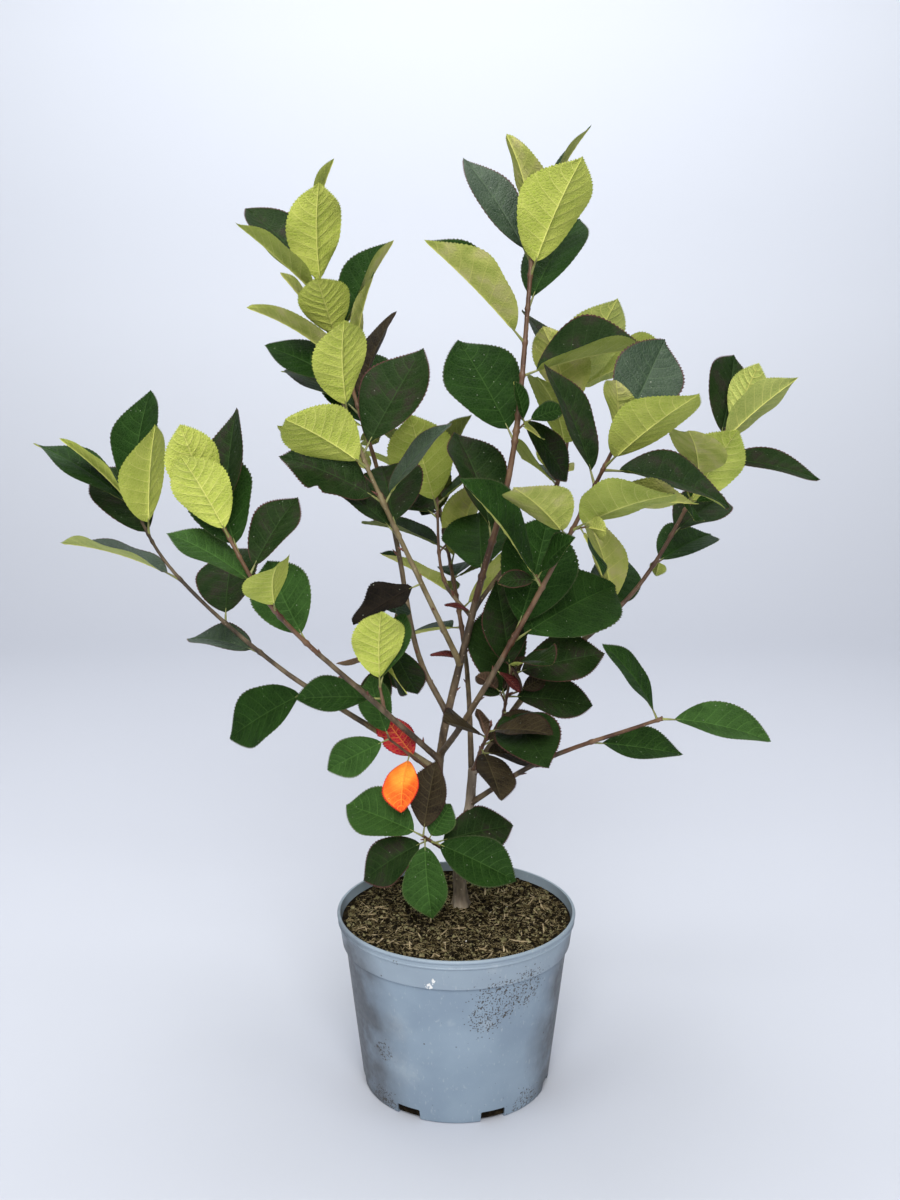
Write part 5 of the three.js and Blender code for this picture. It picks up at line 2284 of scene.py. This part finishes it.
@dataclass
class Foliage:
    """Leaves as thin closed blades with toothed edges, quilted between raised veins, on short stalks."""

    plant: Plant
    veins: int = 8
    lines: int = 6
    first_vein: float = 0.08
    last_vein: float = 0.86
    base_lines: int = 2
    tip_lines: int = 5
    columns: tuple[float, ...] = (0.22, 0.42, 0.62, 0.81)
    sweep: float = 0.2
    sweep_bend: float = 1.15
    vein_half: float = 0.32
    mid_half: float = 0.65
    mid_most: float = 0.14
    edge_width: float = 0.45
    edge_fall: float = 16.0
    edge_most: float = 0.1
    cup: float = 1.25
    tooth: float = 1.0
    tooth_lean: float = 0.7
    tooth_start: Pair = (0.1, 0.24)
    quilt: float = 0.42
    groove: float = 0.3
    thickness: float = 0.42
    vein_ridge: float = 0.16
    mid_ridge: float = 0.6
    point_start: float = 0.5
    point_bend: float = 0.75
    fullness: float = 1.06
    least_half: float = 1e-3
    end_run: float = 0.04
    mid_taper: float = 0.6
    mid_shoulder: float = 0.3
    vein_taper: float = 0.75
    ridge_taper: float = 0.75
    twist_pivot: float = 0.3
    quilt_rise: float = 0.25
    batch: int = 45
    stalk_radius: float = 0.9
    stalk_sides: int = 7
    stalk_rings: int = 8
    stalk_run: float = 0.16
    stalk_taper: Pair = (1.25, 0.55)
    stalk_leaf: float = 80.0
    stalk_sink: float = 0.3

    def lines_along(self) -> tuple[Array, Array, Array, Array]:
        """Lines across half a blade that follow its side veins.

        Returns:
            Place of each line on the midrib, side of a vein that it lies on, share of the way from one vein
            to the next, and whether the faces after it are a vein.
        """
        veins = np.linspace(self.first_vein, self.last_vein, self.veins)
        stops = [0.0, *veins, 1.0]
        rows: list[tuple[float, int, float, bool]] = [(0.0, 0, 0.0, False)]
        for k, (low, high) in enumerate(zip(stops, stops[1:], strict=False)):
            if k > 0:
                rows.append((low, -1, 0.0, True))
                rows.append((low, 1, 0.0, False))
            count = self.base_lines if k == 0 else self.tip_lines if k == self.veins else self.lines
            for j in range(1, count + 1):
                share = j / (count + 1)
                rows.append((low + (high - low) * share, 0, share, False))
        rows.append((1.0, 0, 0.0, False))
        places, sides, shares, is_vein = zip(*rows, strict=True)
        return np.array(places), np.array(sides), np.array(shares), np.array(is_vein)

    def blade(self, leaf: Leaf) -> tuple[Array, Array, Array]:
        """Closed mesh of a blade.

        Args:
            leaf: The leaf.

        Returns:
            Corners, faces and the slot of each face.
        """
        quirk = Quirk.drawn(leaf)
        form = leaf.form
        places, sides, shares, is_vein = self.lines_along()
        swept = self.sweep * np.sin(math.pi * places)
        half_there = np.maximum(form.width / 2 * RULE.outline(places + swept), self.least_half)
        mid = np.minimum(self.mid_half * (1 - self.mid_taper * places) / half_there, self.mid_most)
        rim = 1 - np.minimum(self.edge_width / half_there, self.edge_most)
        inner = [np.full_like(places, column) for column in self.columns]
        right = np.stack([mid, *inner, rim, np.ones_like(places)], axis=1)
        across = np.concatenate([-right[:, ::-1], np.zeros((len(places), 1)), right], axis=1)
        out = np.abs(across)
        spread = sides[:, None] * self.vein_half / form.length * (1 - self.vein_taper * out)
        along = np.clip(places[:, None] + spread + swept[:, None] * out**self.sweep_bend, 0, 1)
        ends = np.clip(np.minimum(along, 1 - along) / self.end_run, 0, 1)

        past = np.clip((along - self.point_start) / (1 - self.point_start), 0, 1)
        pointed = (1 - past**2) ** self.point_bend
        left = 1 - quirk.bitten(along, across)
        half = self.fullness * form.width / 2 * RULE.outline(along) * pointed * left
        points, ahead, upper = leaf.frames(leaf.share(along))
        flat = np.cross(ahead, upper)
        twist = (quirk.twist * (along - self.twist_pivot))[..., None]
        aside = flat * np.cos(twist) + upper * np.sin(twist)
        upper = upper * np.cos(twist) - flat * np.sin(twist)

        tooth_low, tooth_high = self.tooth_start
        is_tooth = np.arange(len(places)) % 2 == 1
        teeth = np.where(is_tooth, self.tooth, 0.0)[:, None] * (out == 1)
        teeth = teeth * np.clip((along - tooth_low) / (tooth_high - tooth_low), 0, 1) * ends
        phase = np.where(across < 0, *quirk.phases)
        wave = quirk.wave * out**2 * np.sin(2 * math.pi * quirk.cycles * along + phase) * ends
        quilted = self.quilt * np.sin(math.pi * shares)[:, None] * (1 - out**3)
        puff = quilted * np.clip(out / self.quilt_rise, 0, 1) * ends
        dip = self.groove * (across == 0) * ends
        rise = (out**self.cup * half + teeth) * math.sin(form.fold) + wave
        reach = (across * half + np.sign(across) * teeth) * math.cos(form.fold)
        place = points + aside * reach[..., None] + ahead * (teeth * self.tooth_lean)[..., None]
        over = place + upper * (rise + puff - dip)[..., None]

        ribs = self.vein_ridge * np.abs(sides)[:, None] * (1 - out)
        is_mid = np.where(out == 0, 1.0, np.where(out == mid[:, None], self.mid_shoulder, 0.0))
        ribs = ribs + self.mid_ridge * is_mid * (1 - self.ridge_taper * along)
        deep = (self.thickness * (1 - out**self.edge_fall) + ribs * (out < 1)) * ends
        return self.closed(over, over - upper * deep[..., None], is_vein)

    def closed(self, over: Array, below: Array, is_vein: Array) -> tuple[Array, Array, Array]:
        """Join the upper and lower net of a blade at the edge.

        Args:
            over: Corners of the upper side, in rows.
            below: Corners of the underside, in rows.
            is_vein: Whether the faces after each row are a vein.

        Returns:
            Corners, faces and the slot of each face.
        """
        rows, columns = over.shape[:2]
        net = quads(rows, columns, closed=False)
        corners = np.concatenate([over.reshape(-1, 3), below.reshape(-1, 3)])
        faces = np.concatenate([net, net[:, TURNED_OVER] + rows * columns])
        line = np.repeat(np.arange(rows - 1), columns - 1)
        column = np.tile(np.arange(columns - 1), rows - 1)
        middle = (columns - 1) // 2
        vein = is_vein[line] | (column == middle) | (column == middle - 1)
        edge = (column == 0) | (column == columns - 2)
        upper = np.where(edge, Slot.EDGE.value, np.where(vein, Slot.VEIN.value, Slot.UPPER.value))
        under = np.where(vein, Slot.RIB.value, Slot.UNDER.value)
        return corners, faces, np.concatenate([upper, under])

    def stalk(self, leaf: Leaf) -> tuple[Array, Array]:
        """Tapering stalk that runs on under the foot of the midrib.

        Args:
            leaf: The leaf.

        Returns:
            Corners and faces.
        """
        shares = np.linspace(0, self.stalk_run, self.stalk_rings)
        points, _, upper = leaf.frames(shares)
        girth = (leaf.form.length / self.stalk_leaf) ** 0.5
        radii = self.stalk_radius * girth * np.linspace(*self.stalk_taper, self.stalk_rings)
        return tube(points - upper * self.stalk_sink, radii, self.stalk_sides)

    def build(self) -> list[Piece]:
        """Join the blades by tint, a batch to a piece, and the stalks into one piece.

        Returns:
            The stalks, and the pieces of each tint.
        """
        stalks = Heap()
        for leaf in self.plant.leaves:
            stalks.add(*self.stalk(leaf))
        pieces = [seat(stalks.piece("leaf_stalks", [STALK_FINISH.material()]), "foliage")]
        for tint in Tint:
            leaves = [leaf for leaf in self.plant.leaves if leaf.tint is tint]
            materials = LEAF_COATS[tint].materials(tint)
            for first in range(0, len(leaves), self.batch):
                heap = Heap()
                batch = leaves[first : first + self.batch]
                for leaf in batch:
                    heap.add(*self.blade(leaf))
                piece = heap.piece(f"leaves_{tint.value}_{first // self.batch + 1}", materials)
                pieces.append(seat(piece, "foliage", sorted({f"foliage_{leaf.spray}" for leaf in batch})))
        return pieces


# Points that the lamps face
CROWN_MIDDLE: Point = (0.0, 0.0, 380.0)
WALL_MIDDLE: Point = (0.0, 2400.0, 900.0)


@dataclass(frozen=True)
class Lamp:
    """Soft square lamp: name, place, point that it faces, width of its face and power in watts."""

    name: str
    place: Point
    target: Point
    size: float
    power: float
    colour: Colour = (1.0, 0.99, 0.975)

    def hang(self) -> None:
        """Hang the lamp in its place and turn it to its target."""
        aim = Vector(self.target) - Vector(self.place)
        turn = aim.to_track_quat("-Z", "Y").to_euler()
        bpy.ops.object.light_add(type="AREA", location=Vector(self.place) * MM, rotation=turn)
        lamp = bpy.context.object
        lamp.name = self.name
        lamp.data.size = self.size * MM
        lamp.data.energy = self.power
        lamp.data.color = self.colour


@dataclass
class Studio:
    """Pale floor that sweeps up behind, soft light, and the camera."""

    floor_width: float = 9000.0
    floor_front: float = -3200.0
    floor_back: float = 1500.0
    sweep_radius: float = 900.0
    sweep_steps: int = 16
    wall_height: float = 2600.0
    image: tuple[int, int] = (900, 1200)
    focal_pixels: float = 1320.0
    sensor: float = 36.0
    camera_place: Point = (-5.0, -988.0, 592.0)
    camera_pitch: float = 11.3
    clip: Pair = (0.05, 50.0)
    lamps: tuple[Lamp, ...] = (
        Lamp("soft_key", (100, -2200, 1900), CROWN_MIDDLE, 1500, 74),
        Lamp("soft_side", (-1900, -1100, 1500), CROWN_MIDDLE, 1500, 12),
        Lamp("soft_top", (0, 200, 2400), CROWN_MIDDLE, 1800, 40),
        Lamp("wall_wash", (0, 900, 2300), WALL_MIDDLE, 1600, 13),
    )
    world: Colour = (0.93, 0.96, 1.0)
    world_strength: float = 0.22
    backdrop: Backdrop = Backdrop()

    def floor(self) -> None:
        """Model the floor and its sweep."""
        bpy.ops.object.select_all(action="DESELECT")
        depth = self.floor_back - self.floor_front
        middle = (self.floor_back + self.floor_front) / 2
        bpy.ops.mesh.primitive_plane_add(size=1.0, location=(0, middle * MM, 0))
        floor = bpy.context.object
        floor.name = floor.data.name = "studio_floor"
        floor.scale = (self.floor_width * MM, depth * MM, 1.0)
        bpy.ops.object.transform_apply(location=True, rotation=False, scale=True)
        bpy.ops.object.mode_set(mode="EDIT")
        pick(floor, lambda place: place.y > (self.floor_back - 1) * MM)
        bpy.ops.mesh.spin(
            steps=self.sweep_steps,
            angle=-math.pi / 2,
            center=(0, self.floor_back * MM, self.sweep_radius * MM),
            axis=(1, 0, 0),
        )
        bpy.ops.mesh.extrude_region_move(TRANSFORM_OT_translate={"value": (0, 0, self.wall_height * MM)})
        bpy.ops.object.mode_set(mode="OBJECT")
        dress(floor, [self.backdrop.material()])
        smooth(floor)

    def light(self) -> None:
        """Hang the lamps and tint the air."""
        for lamp in self.lamps:
            lamp.hang()
        world = bpy.data.worlds.new("studio_air")
        world.use_nodes = True
        air = world.node_tree.nodes["Background"]
        air.inputs["Color"].default_value = (*self.world, 1.0)
        air.inputs["Strength"].default_value = self.world_strength
        bpy.context.scene.world = world

    def camera(self) -> None:
        """Set up the camera at the picture's viewing angle."""
        pitch = math.radians(90 - self.camera_pitch)
        bpy.ops.object.camera_add(location=Vector(self.camera_place) * MM, rotation=(pitch, 0, 0))
        camera = bpy.context.object
        camera.data.sensor_width = self.sensor
        camera.data.lens = self.sensor * self.focal_pixels / max(self.image)
        camera.data.clip_start, camera.data.clip_end = self.clip
        bpy.context.scene.camera = camera

    def build(self) -> None:
        """Set up the whole studio."""
        self.floor()
        self.light()
        self.camera()
        bpy.context.scene.view_settings.view_transform = "Standard"


def main() -> None:
    """Build the potted chokeberry on the frame, piece by piece, and the studio round it."""
    logging.basicConfig(level=logging.INFO, format="%(name)s: %(message)s")
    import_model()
    plant = Plant()
    plant.grow()
    counts = (len(plant.leaves), len(plant.twigs), len(plant.buds))
    LOG.info("grown: %d leaves, %d dwarf twigs, %d buds", *counts)
    for assembly in (NurseryPot(), Compost(), Framework(plant), Foliage(plant)):
        for piece in assembly.build():
            LOG.info("%s: %d faces", piece.name, len(piece.data.polygons))
    Studio().build()


if __name__ == "__main__":
    main()
